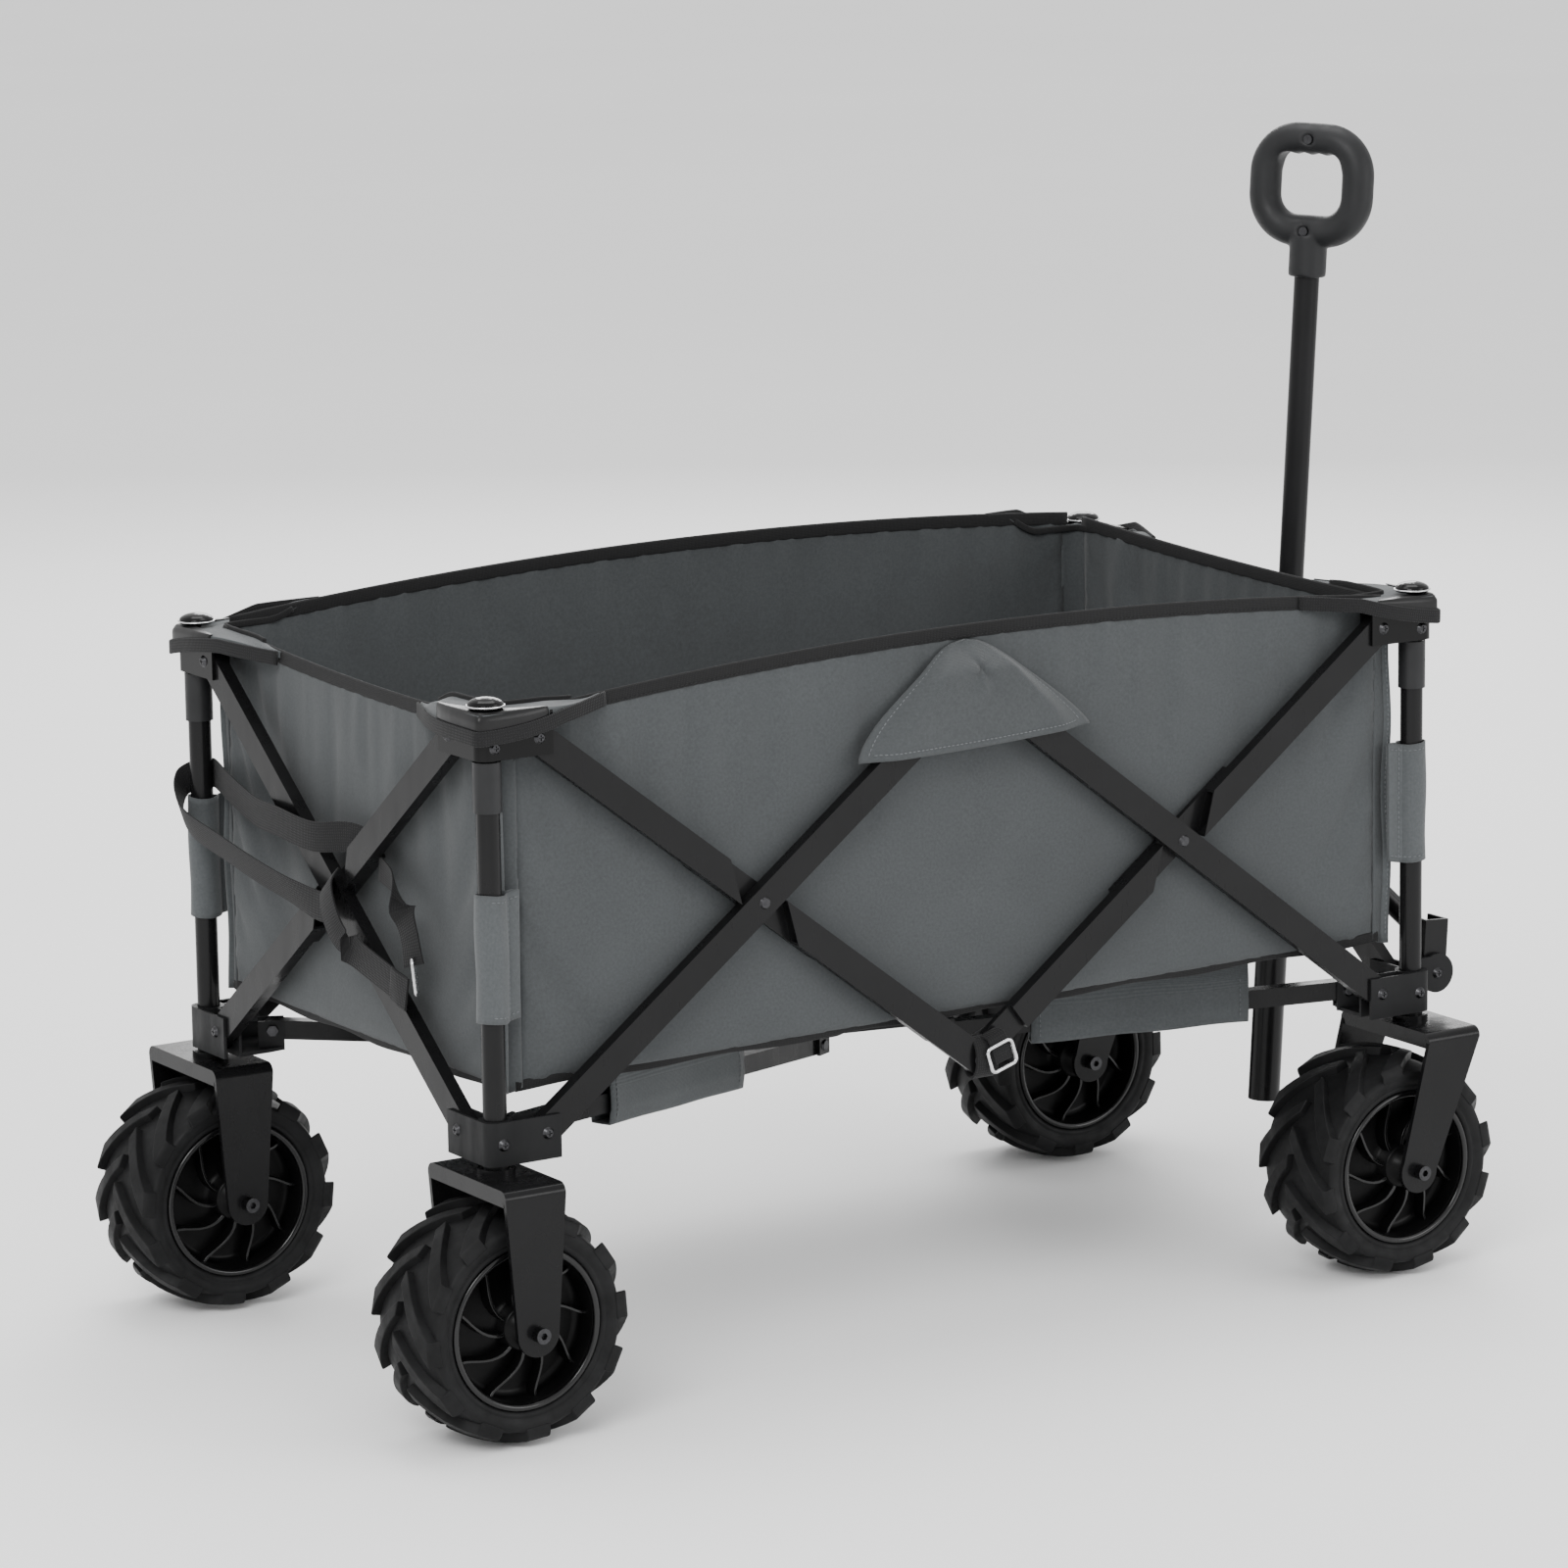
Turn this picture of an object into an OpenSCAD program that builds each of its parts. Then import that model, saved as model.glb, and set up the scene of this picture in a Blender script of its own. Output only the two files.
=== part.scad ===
// Folding utility wagon with a telescopic pull handle.
// +X is the front (handle end), +Y the left side, +Z up. The origin lies on the ground,
// in the middle of the rectangle that the four corner posts stand on.

/* [Frame] */
// Distance between the front and the rear corner posts, centre to centre
post_span_l = 900; // [880:1:930]
// Distance between the left and the right corner posts, centre to centre
post_span_w = 484; // [474:1:499]
// Height of the lower scissor pivots above the ground
low_pivot_z = 242; // [240:1:250]
// Height of the upper scissor pivots above the ground
up_pivot_z = 557; // [545:1:565]
// Outside diameter of a corner post
post_d = 19; // [19:0.5:20]
// Width of a scissor arm, across its flat side
arm_w = 24; // [22:1:25]

/* [Wheels] */
// Outside diameter of a tyre
wheel_d = 193; // [184:1:197]
// Width of a tyre
wheel_w = 96; // [88:1:98]
// Distance of a front axle behind its swivel axis
caster_trail = 37; // [20:1:40]

/* [Handle] */
// Forward lean of the standing handle, in degrees
handle_lean = 3.65; // [2:0.05:6]
// Length of the handle's outer tube
outer_tube_l = 456; // [440:1:465]
// How far the inner tube stands out of the outer tube
handle_out = 277; // [265:1:290]
// Turn of the grip about the tube, in degrees
grip_turn = 28; // [0:1:90]

/* [Bag] */
// Height of the bag's rim at the corners
rim_z = 572; // [560:1:575]
// Height of the underside of the bag's floor
bag_floor_z = 275; // [272:1:280]

/* [Hidden] */

// The signs that name an end and a side
rear = -1;
front = 1;
right = -1;
left = 1;

post_x = post_span_l / 2;
post_y = post_span_w / 2;
pivot_rise = up_pivot_z - low_pivot_z;
// The end scissor spans what half of a side scissor spans, so all arms are equal
side_pivot_in = 40;
pivot_span = post_x - side_pivot_in;
end_pivot_in = (post_span_w - pivot_span) / 2;
arm_l = sqrt(pivot_span * pivot_span + pivot_rise * pivot_rise);
arm_angle = atan(pivot_rise / pivot_span);

slip = 0.1;
running = 0.05;
// Gap under a screw's head and nut
seat = 0.05;
post_r = post_d / 2;
tube_wall = 1.2;
inner_r = post_r - tube_wall - slip;

// Bent steel brackets round the posts
plate_t = 2.5;
plate_out = post_r + 4;
plate_reach = 52;
bend_r = 10;
core_r = post_r + 3.9;
low_plate_z = low_pivot_z - 21;
up_plate_z = up_pivot_z - 14;
plate_h = 35;
gusset_t = 3;
arm_t = 11;
arm_gap = 0.3;
arm_out = plate_out - plate_t - arm_gap;
back_plate_in = arm_t - arm_out + 0.4;
kingpin_r = 6;
kingpin_h = 22;

// Screws and rivets
screw_r = 3;
rivet_r = 4;
head_r = 5;
head_h = 2.2;
rivet_head = 1.6;
nut_h = 2.5;

// Scissor arms
arm_wall = 1.4;
arm_over = 12;
lap_l = 50;
lap_t = 5.2;
doubler_t = 4.9;
doubler_half = 74;
crimp_short = 17.5;
crimp_long = 48.5;
crimp_gap = 0.4;

// Posts: post_seat is how far up inside a lower bracket a post stands
post_seat = 25;
post_top = 533;
collar_r = 11.5;
collar_top = up_plate_z - 2;
collar_h = 40;
inner_post_low = 293;
cap_r = 14.5;
cap_h = 6;
dome_h = 6;

// Wheels and forks
wheel_r = wheel_d / 2;
half_w = wheel_w / 2;
rim_r = 64;
axle_r = 5;
axle_head_r = 6.3;
axle_head_h = 8;
socket_r = 3;
socket_depth = 3.5;
leg_in = 57.5;
leg_t = 4;
fork_half = 27;
fork_top = 214;
fork_bend = 8;
leg_foot_r = 18.5;
spokes = 9;
spoke_t = 4;
spoke_sweep = 40;
hub_r = 17;

// Floor bars, from a lug on each lower bracket towards the middle
bar_z = low_pivot_z - 4;
bar_w = 14;
bar_h = 16;
bar_drop = 3.9;
bar_turn = atan(0.5);
bar_reach = pivot_span * sqrt(1.25) / cos(bar_drop);
bar_short = bar_reach - 110.5;
hub_arm = 120;

// Handle and yoke, in a frame with its origin between the two ears
ear_x = post_x + 34;
ear_z = 247;
ear_in = 6;
ear_t = 4;
ear_r = 17;
channel_w = 24;
channel_t = 2.5;
channel_low = -16;
channel_high = 46;
yoke_pivot_in = 22;
yoke_pivot_h = 27;
yoke_top_y = 46;
yoke_top_h = 100;
yoke_span = post_y - yoke_pivot_in - yoke_top_y;
yoke_rise = yoke_top_h - yoke_pivot_h;
yoke_l = sqrt(yoke_span * yoke_span + yoke_rise * yoke_rise);
yoke_angle = atan(yoke_rise / yoke_span);
yoke_r = 9;
yoke_collar_r = 18;
yoke_tip = 5;
outer_tube_r = 14;
inner_tube_r = 11;
outer_tube_low = -157;
outer_tube_top = outer_tube_low + outer_tube_l;
neck_low = outer_tube_top + handle_out;
overlap = 72;

// Grip loop
loop_half_w = 44;
loop_half_h = 40;
loop_bend = 31;
loop_tube_r = 14;
neck_r = 16.5;
neck_h = 31;
loop_mid = neck_low + neck_h + loop_half_h + loop_tube_r - 5;
finger_r = 9;
finger_pitch = 14;
recess = 3;

// Bag
bag_half_l = 438;
bag_half_w = 232;
bag_chamfer_l = 18;
bag_chamfer_w = 14;
cloth = 3;
rim_arch = 26;
pocket_half = 112;

module at_corner(end, side) {
    translate([end * post_x, side * post_y, 0])
        mirror([end > 0 ? 1 : 0, 0, 0])
            mirror([0, side > 0 ? 1 : 0, 0]) children();
}

module on_side(side) {
    mirror([0, side > 0 ? 1 : 0, 0]) children();
}

module on_end(end) {
    mirror([end > 0 ? 1 : 0, 0, 0]) children();
}

// Swaps length and width, so a scissor arm drawn for a side lies across an end
module across() {
    mirror([1, -1, 0]) children();
}

module along_y(y) {
    translate([0, y, 0]) rotate([-90, 0, 0]) children();
}

// Rivet along +Y through a thickness of l, with the same head at both ends
module rivet(l, r) {
    rotate([-90, 0, 0]) {
        translate([0, 0, -seat - rivet_head]) cylinder(r1 = head_r - 1, r2 = head_r, h = rivet_head, $fn = 40);
        translate([0, 0, -seat - 1]) cylinder(r = r, h = l + 2 * seat + 2, $fn = 40);
        translate([0, 0, l + seat]) cylinder(r1 = head_r, r2 = head_r - 1, h = rivet_head, $fn = 40);
    }
}

// Crosshead screw along +Y from its head: shank of length l and a nut at the far end
module screw(l, r, nut) {
    rotate([-90, 0, 0]) {
        difference() {
            translate([0, 0, -head_h - seat])
                cylinder(r1 = head_r * 0.62, r2 = head_r, h = head_h, $fn = 40);
            for (a = [0, 90]) rotate([0, 0, a])
                translate([-head_r * 0.45, -0.5, -head_h - 1]) cube([head_r * 0.9, 1, 2.2 - seat]);
        }
        translate([0, 0, -seat]) cylinder(r = r, h = l + 2 * seat, $fn = 40);
        if (nut) translate([0, 0, l + seat]) cylinder(r = head_r, h = nut_h, $fn = 6);
    }
}

// A strip bent round the post's corner, seen from above
module bent_strip() {
    straight = plate_reach + plate_out - bend_r;
    translate([-plate_out + bend_r, -plate_out]) square([straight, plate_t]);
    translate([-plate_out, -plate_out + bend_r]) square([plate_t, straight]);
    translate([-plate_out + bend_r, -plate_out + bend_r]) difference() {
        circle(r = bend_r, $fn = 60);
        circle(r = bend_r - plate_t, $fn = 60);
        translate([0, -2 * bend_r]) square(4 * bend_r);
        translate([-2 * bend_r, 0]) square(4 * bend_r);
    }
}

// Bent outer plate, straight inner plates and the core that holds the post
module bracket_body(bore_r, bore_low) {
    difference() {
        linear_extrude(plate_h) {
            bent_strip();
            circle(r = core_r, $fn = 60);
            translate([0, back_plate_in]) square([plate_reach, plate_t]);
            translate([back_plate_in, 0]) square([plate_t, plate_reach]);
        }
        translate([0, 0, bore_low]) cylinder(r = bore_r, h = plate_h, $fn = 60);
        children();
    }
}

// The two pivot screws of a bracket and the one that holds its post
module bracket_screws(pivot_h) {
    l = plate_out + back_plate_in + plate_t;
    translate([side_pivot_in, -plate_out, pivot_h]) screw(l, screw_r, true);
    across() translate([end_pivot_in, -plate_out, pivot_h]) screw(l, screw_r, true);
    translate([0, -plate_out, pivot_h - 4]) screw(0.5, screw_r, false);
}

module bracket_holes(pivot_h) {
    translate([side_pivot_in, 0, pivot_h])
        along_y(-plate_out - 1) cylinder(r = screw_r + slip, h = plate_out * 2 + 6, $fn = 40);
    across() translate([end_pivot_in, 0, pivot_h])
        along_y(-plate_out - 1) cylinder(r = screw_r + slip, h = plate_out * 2 + 6, $fn = 40);
    translate([0, -plate_out - 1, pivot_h - 4])
        rotate([-90, 0, 0]) cylinder(r = screw_r + slip, h = 1.6, $fn = 40);
}

// Lug on the inner corner of a lower bracket, for the floor bar
module bar_lug() {
    difference() {
        union() {
            linear_extrude(gusset_t) polygon([
                [8, 8], [plate_reach, back_plate_in], [plate_reach, 30], [44, 50], [30, plate_reach],
                [back_plate_in, plate_reach]
            ]);
            for (v = [-1, 1])
                translate([side_pivot_in, end_pivot_in, 0]) rotate([0, 0, bar_turn])
                    translate([-12, v * (bar_w / 2 + 1.9) - 1.5, 0]) cube([22, 3, bar_z - low_plate_z + 8]);
        }
        translate([side_pivot_in, end_pivot_in, bar_z - low_plate_z]) rotate([0, 0, bar_turn])
            along_y(-20) cylinder(r = screw_r + slip, h = 40, $fn = 40);
    }
    translate([side_pivot_in, end_pivot_in, bar_z - low_plate_z]) rotate([0, 0, bar_turn])
        translate([0, -bar_w / 2 - 3.5, 0]) screw(bar_w + 7, screw_r, true);
}

// Ear of a front bracket that the handle yoke pivots on
module handle_ear() {
    h = ear_z - low_plate_z;
    difference() {
        translate([-plate_out + 1, ear_in + ear_t, 0]) rotate([90, 0, 0]) linear_extrude(ear_t) {
            translate([-24, h - ear_r + 4]) square([24, 2 * ear_r - 6]);
            translate([-(ear_x - post_x) + plate_out - 1, h]) circle(r = ear_r, $fn = 60);
        }
        translate([-(ear_x - post_x), 0, h])
            along_y(-1) cylinder(r = screw_r + slip, h = 20, $fn = 40);
    }
}

module lower_bracket(end, side) {
    pivot_h = low_pivot_z - low_plate_z;
    color("dimgray") at_corner(end, side) translate([0, 0, low_plate_z]) {
        difference() {
            bracket_body(post_r + slip, post_seat) bracket_holes(pivot_h);
            translate([0, 0, -1])
                cylinder(r = kingpin_r + running, h = kingpin_h + 1.5, $fn = 60);
        }
        bar_lug();
        if (end == front) {
            handle_ear();
            translate([-(ear_x - post_x), ear_in, ear_z - low_plate_z])
                screw(ear_t + channel_t + 1, screw_r, true);
        }
    }
    color("silver") at_corner(end, side) translate([0, 0, low_plate_z]) bracket_screws(pivot_h);
}

module upper_bracket(end, side) {
    pivot_h = up_pivot_z - up_plate_z;
    color("dimgray") at_corner(end, side) translate([0, 0, up_plate_z])
        bracket_body(inner_r + slip, -1) bracket_holes(pivot_h);
    color("silver") at_corner(end, side) translate([0, 0, up_plate_z]) bracket_screws(pivot_h);
    color("black") at_corner(end, side) translate([0, 0, up_plate_z + plate_h])
        rotate_extrude($fn = 48) polygon([
            [0, 0], [4, 0], [4, cap_h - 1], [cap_r - 1, cap_h - 1], [cap_r, cap_h],
            for (a = [0:15:75]) [cap_r * cos(a), cap_h + 1.5 + dome_h * sin(a)], [0, cap_h + 1.5 + dome_h]
        ]);
}

// Outer post tube with the moulded collar that its inner post slides in
module post(end, side) {
    color("black") at_corner(end, side) difference() {
        translate([0, 0, low_plate_z + post_seat])
            cylinder(r = post_r, h = post_top - low_plate_z - post_seat, $fn = 60);
        translate([0, 0, low_plate_z + post_seat + 3])
            cylinder(r = post_r - tube_wall, h = post_top, $fn = 60);
    }
    color("dimgray") at_corner(end, side) difference() {
        translate([0, 0, collar_top - collar_h]) cylinder(r = collar_r, h = collar_h, $fn = 60);
        translate([0, 0, collar_top - collar_h - 1])
            cylinder(r = post_r + slip, h = post_top - collar_top + collar_h + 1 + seat, $fn = 60);
        cylinder(r = inner_r + slip, h = collar_top + 1, $fn = 60);
    }
}

module inner_post(end, side) {
    color("gray") at_corner(end, side) difference() {
        translate([0, 0, inner_post_low])
            cylinder(r = inner_r, h = up_plate_z + plate_h - 1 - inner_post_low, $fn = 60);
        translate([0, 0, inner_post_low - 1]) cylinder(r = inner_r - tube_wall, h = 300, $fn = 60);
    }
}

// Section of a fork's top plate with its two bends; the plate's upper side is at y = 0
module fork_crown() {
    bend_y = leg_in + leg_t - fork_bend;
    difference() {
        union() {
            translate([-bend_y, -fork_bend]) square([2 * bend_y, fork_bend]);
            for (v = [-1, 1]) translate([v * bend_y, -fork_bend]) circle(r = fork_bend, $fn = 60);
        }
        translate([-bend_y, -2 * fork_bend]) square([2 * bend_y, 2 * fork_bend - leg_t]);
        for (v = [-1, 1])
            translate([v * bend_y, -fork_bend]) circle(r = fork_bend - leg_t, $fn = 60);
        translate([-bend_y - 2 * fork_bend, -2 * fork_bend]) square([2 * bend_y + 4 * fork_bend, fork_bend]);
    }
}

// Pressed steel fork; the front ones swivel on their kingpin and trail behind it
module fork(end, side) {
    trail = end == front ? caster_trail : 0;
    leg_top = fork_top - fork_bend;
    color("black") at_corner(end, side) {
        rotate([90, 0, 90]) translate([0, fork_top, -fork_half])
            linear_extrude(2 * fork_half) fork_crown();
        for (u = [-1, 1])
            translate([u * (fork_half - 1.5) - 1.5, -leg_in - 0.5, fork_top - 13])
                cube([3, 2 * leg_in + 1, 11]);
        for (v = [-1, 1])
            translate([0, v * (leg_in + leg_t / 2) + leg_t / 2, 0]) rotate([90, 0, 0])
                linear_extrude(leg_t) difference() {
                    union() {
                        polygon([
                            [-fork_half, leg_top], [fork_half, leg_top],
                            [trail + leg_foot_r, wheel_r], [trail - leg_foot_r, wheel_r]
                        ]);
                        translate([trail, wheel_r]) circle(r = leg_foot_r, $fn = 60);
                    }
                    translate([trail, wheel_r]) circle(r = axle_r + slip, $fn = 40);
                }
        translate([0, 0, fork_top]) cylinder(r = 15, h = 4, $fn = 60);
        translate([0, 0, fork_top]) cylinder(r = 10.5, h = low_plate_z - fork_top - 0.3, $fn = 60);
        translate([0, 0, fork_top])
            cylinder(r = kingpin_r, h = low_plate_z + kingpin_h - fork_top, $fn = 60);
    }
}

module at_wheel(end, side) {
    trail = end == front ? caster_trail : 0;
    at_corner(end, side) translate([trail, 0, wheel_r]) rotate([90, 0, 0]) children();
}

// Axle bolt with a round socket head at each end
module axle(end, side) {
    reach = leg_in + leg_t;
    color("silver") at_wheel(end, side) {
        translate([0, 0, -reach - 4]) cylinder(r = axle_r, h = 2 * reach + 8, $fn = 40);
        for (m = [0, 1]) mirror([0, 0, m]) translate([0, 0, reach + 0.1]) difference() {
            cylinder(r = axle_head_r, h = axle_head_h, $fn = 60);
            translate([0, 0, axle_head_h - socket_depth])
                cylinder(r = socket_r, h = socket_depth + 1, $fn = 6);
        }
    }
}

module tyre(end, side) {
    side_line = [
        [rim_r, half_w - 8], [rim_r + 3.2, half_w - 7], [rim_r + 3.2, half_w - 3], [wheel_r - 17, half_w],
        [wheel_r - 9, half_w - 1], [wheel_r - 3, half_w - 8], [wheel_r - 0.6, half_w - 20],
        [wheel_r, half_w - 34]
    ];
    n = len(side_line) - 1;
    color("dimgray") at_wheel(end, side) rotate_extrude($fn = 96) polygon([
        for (p = side_line) p, for (i = [n:-1:0]) [side_line[i][0], -side_line[i][1]]
    ]);
}

// A point on the edge of a curved spoke: t runs from 0 at the hub to 1 at the barrel
function spoke_edge(t, edge) =
    let (
        r = hub_r - 3 + t * (rim_r - spoke_t - hub_r + 5),
        a = spoke_sweep * (3 - 2 * t) * t * t + edge * asin(spoke_t / r)
    ) [r * cos(a), r * sin(a)];

// Moulded rim: barrel with lips, hub and curved spokes on both faces
module rim(end, side) {
    lip = half_w - 6.8;
    barrel_r = rim_r - 0.2;
    web = 3.2;
    face = half_w - 16;
    color("black") at_wheel(end, side) difference() {
        union() {
            rotate_extrude($fn = 96) polygon([
                [barrel_r - web, -lip - web], [barrel_r + 3, -lip - web], [barrel_r + 3, -lip],
                [barrel_r, -lip], [barrel_r, lip], [barrel_r + 3, lip], [barrel_r + 3, lip + web],
                [barrel_r - web, lip + web]
            ]);
            translate([0, 0, -leg_in + 1]) cylinder(r = hub_r - 5, h = 2 * leg_in - 2, $fn = 60);
            translate([0, 0, -face - 7]) cylinder(r = hub_r, h = 2 * face + 14, $fn = 60);
            for (m = [0, 1]) mirror([0, 0, m])
                for (i = [0:spokes - 1]) rotate([0, 0, i * 360 / spokes]) translate([0, 0, face])
                    linear_extrude(6) polygon([
                        for (t = [0:0.2:1]) spoke_edge(t, -1),
                        for (t = [1:-0.2:0]) spoke_edge(t, 1)
                    ]);
            translate([0, 0, -2]) cylinder(r = barrel_r - 1, h = 4, $fn = 96);
        }
        translate([0, 0, -leg_in]) cylinder(r = axle_r + running, h = 2 * leg_in, $fn = 60);
    }
}

// The slanted gap in a crimped arm that the outer arm passes through
module crimp_cut() {
    h = arm_w / 2 + 1;
    slope = (crimp_long - crimp_short) / arm_w;
    translate([arm_l / 2, arm_t + crimp_gap, 0]) rotate([90, 0, 0]) linear_extrude(arm_t + 2) polygon([
        [-crimp_long - slope, h], [crimp_short - slope, h],
        [crimp_long + slope, -h], [-crimp_short + slope, -h]
    ]);
}

// Rectangular tube arm along X, outer face at y = 0. lap is 0 for a plain far end, 1 for a
// flattened far end on the outer side and 2 for one on the inner side.
module scissor_arm(lap, crimped) {
    h = arm_w / 2;
    tube_end = lap == 0 ? arm_l + arm_over : arm_l - lap_l;
    lap_y = lap == 2 ? arm_t - lap_t : 0;
    hollow_end = lap == 0 ? tube_end + 1 : tube_end - 3;
    difference() {
        union() {
            translate([-arm_over, 0, -h]) cube([tube_end + arm_over, arm_t, arm_w]);
            if (lap > 0) {
                translate([tube_end - 1, lap_y, -h]) cube([lap_l + 1, lap_t, arm_w]);
                translate([arm_l, lap_y, 0]) rotate([-90, 0, 0]) cylinder(r = h, h = lap_t, $fn = 60);
            }
            if (crimped)
                translate([arm_l / 2 - doubler_half, arm_t, -h]) cube([2 * doubler_half, doubler_t, arm_w]);
        }
        if (crimped) crimp_cut();
        translate([-arm_over - 1, arm_wall, -h + arm_wall])
            cube([hollow_end + arm_over + 1, arm_t - 2 * arm_wall, arm_w - 2 * arm_wall]);
        for (p = [[0, screw_r], [arm_l / 2, rivet_r], [arm_l, screw_r]])
            translate([p[0], -1, 0]) rotate([-90, 0, 0]) cylinder(r = p[1] + running, h = 30, $fn = 40);
    }
}

module crossing_rivet() {
    translate([arm_l / 2, 0, 0]) rivet(arm_t + doubler_t, rivet_r);
}

module lap_rivet() {
    translate([arm_l, 0, 0]) rivet(arm_t, screw_r);
}

// An arm that rises from the rear lower bracket to the middle of the side
module rising_arm(end, side) {
    on_side(side) on_end(end) translate([-pivot_span, -post_y - arm_out, low_pivot_z])
        rotate([0, -arm_angle, 0]) {
            color("black") scissor_arm(end == rear ? 1 : 2, false);
            color("silver") crossing_rivet();
            if (end == rear) color("silver") lap_rivet();
        }
}

// An arm that falls from the upper bracket to the middle of the side
module falling_arm(end, side) {
    on_side(side) on_end(end) translate([-pivot_span, -post_y - arm_out, up_pivot_z])
        rotate([0, arm_angle, 0]) {
            color("black") scissor_arm(end == rear ? 1 : 2, true);
            if (end == rear) color("silver") lap_rivet();
        }
}

module end_arm_outer(end) {
    on_end(end) across() translate([-pivot_span / 2, -post_x - arm_out, low_pivot_z])
        rotate([0, -arm_angle, 0]) {
            color("black") scissor_arm(0, false);
            color("silver") crossing_rivet();
        }
}

module end_arm_crimped(end) {
    color("black") on_end(end) across()
        translate([-pivot_span / 2, -post_x - arm_out, up_pivot_z])
            rotate([0, arm_angle, 0]) scissor_arm(0, true);
}

// Draws a floor bar's frame: origin at its pivot, X towards the middle and a little down
module along_bar(end, side) {
    on_side(side) on_end(end) translate([-pivot_span, -pivot_span / 2, bar_z])
        rotate([0, 0, bar_turn]) rotate([0, bar_drop, 0]) children();
}

module floor_bar(end, side) {
    l = end == rear && side == right ? bar_reach : bar_short;
    color("black") along_bar(end, side) difference() {
        union() {
            translate([0, -bar_w / 2, -bar_h / 2]) cube([l, bar_w, bar_h]);
            for (x = [0, l])
                translate([x, bar_w / 2, 0]) rotate([90, 0, 0]) cylinder(r = bar_h / 2, h = bar_w, $fn = 60);
        }
        for (s = [[0, screw_r], [l, rivet_r]])
            translate([s[0], 0, 0]) along_y(-20) cylinder(r = s[1] + running, h = 40, $fn = 40);
        translate([14, -bar_w / 2 + 2, -bar_h]) cube([l - 28, bar_w - 4, 2 * bar_h - 10]);
    }
}

// Middle plate: it hangs on one bar's tip and lies on the tips of the other three
module floor_hub() {
    hub_z = bar_z - bar_reach * sin(bar_drop);
    lift = bar_h / 2 + 0.8;
    color("black") {
        for (c = [[front, right], [rear, left], [front, left]])
            on_side(c[1]) on_end(c[0]) translate([0, 0, hub_z]) rotate([0, 0, bar_turn])
                rotate([0, bar_drop, 0]) translate([-hub_arm, -11, lift]) cube([hub_arm - 8, 22, 3]);
        translate([0, 0, hub_z + lift + 1.5]) cylinder(r = 26, h = 4, $fn = 60);
        translate([0, 0, hub_z]) rotate([0, 0, bar_turn]) difference() {
            for (v = [-1, 1])
                translate([-8, v * (bar_w / 2 + 2) - 1.5, -8]) cube([16, 3, lift + 11]);
            along_y(-20) cylinder(r = rivet_r + slip, h = 40, $fn = 40);
        }
    }
    color("silver") translate([0, 0, hub_z]) rotate([0, 0, bar_turn])
        translate([0, -bar_w / 2 - 3.5, 0]) rivet(bar_w + 7, rivet_r);
}

// The standing handle's own frame: origin between the ears, Z along the tube
module handle_frame() {
    translate([ear_x, 0, ear_z]) rotate([0, handle_lean, 0]) children();
}

// U-channel that swings on an ear and holds the yoke arm's lower end
module yoke_channel(side) {
    h = channel_high - channel_low;
    outer = post_y - ear_in - ear_t - arm_gap;
    color("black") on_side(side) handle_frame() {
        translate([0, -outer, 0]) difference() {
            translate([-channel_w / 2, 0, channel_low]) cube([channel_w, channel_w + 2, h]);
            translate([-channel_w / 2 + channel_t, channel_t, channel_low - 1])
                cube([channel_w - 2 * channel_t, channel_w, h + 2]);
            translate([-channel_w, channel_w - 4, channel_low - 1]) cube([2 * channel_w, channel_w, 18]);
            along_y(-1) cylinder(r = screw_r + running, h = channel_t + 2, $fn = 40);
            translate([-channel_w, outer - post_y + yoke_pivot_in, yoke_pivot_h])
                rotate([0, 90, 0]) cylinder(r = screw_r + slip, h = 2 * channel_w, $fn = 40);
        }
    }
    color("silver") on_side(side) handle_frame()
        translate([-channel_w / 2 - 0.1, -post_y + yoke_pivot_in, yoke_pivot_h])
            rotate([0, 0, -90]) screw(channel_w + 0.2, screw_r, true);
}

// Round yoke tube with flattened ends
module yoke_arm(side) {
    tube_from = 26;
    tube_to = yoke_l - 26;
    color("black") on_side(side) handle_frame()
        translate([0, -post_y + yoke_pivot_in, yoke_pivot_h]) rotate([yoke_angle, 0, 0]) difference() {
            union() {
                for (y = [0, yoke_l])
                    translate([-yoke_tip / 2, y, 0]) rotate([0, 90, 0])
                        cylinder(r = yoke_r, h = yoke_tip, $fn = 60);
                translate([-yoke_tip / 2, 0, -yoke_r]) cube([yoke_tip, yoke_l, 2 * yoke_r]);
                along_y(tube_from) cylinder(r = yoke_r, h = tube_to - tube_from, $fn = 60);
            }
            for (y = [0, yoke_l])
                translate([-20, y, 0]) rotate([0, 90, 0]) cylinder(r = screw_r + running, h = 40, $fn = 40);
        }
}

// Collar that the handle's outer tube turns in, with a clevis for each yoke arm
module yoke_collar() {
    gap = yoke_tip / 2 + 0.5;
    color("dimgray") handle_frame() translate([0, 0, yoke_top_h]) {
        difference() {
            union() {
                translate([0, 0, -15]) cylinder(r = yoke_collar_r, h = 30, $fn = 60);
                for (u = [-1, 1])
                    translate([u * (gap + 1.5), 0, 0]) rotate([0, 90, 0]) linear_extrude(3, center = true)
                        polygon([[-11, -56], [-14, -14], [-14, 14], [-11, 56], [11, 56], [14, 14], [14, -14],
                            [11, -56]]);
            }
            translate([0, 0, -30]) cylinder(r = outer_tube_r + running, h = 60, $fn = 60);
            for (v = [-1, 1])
                translate([-20, v * yoke_top_y, 0]) rotate([0, 90, 0])
                    cylinder(r = screw_r + slip, h = 40, $fn = 40);
        }
    }
    color("silver") handle_frame() translate([0, -yoke_top_y, yoke_top_h])
        translate([-gap - 3.1, 0, 0]) rotate([0, 0, -90]) screw(2 * gap + 6.2, screw_r, true);
}

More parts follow.
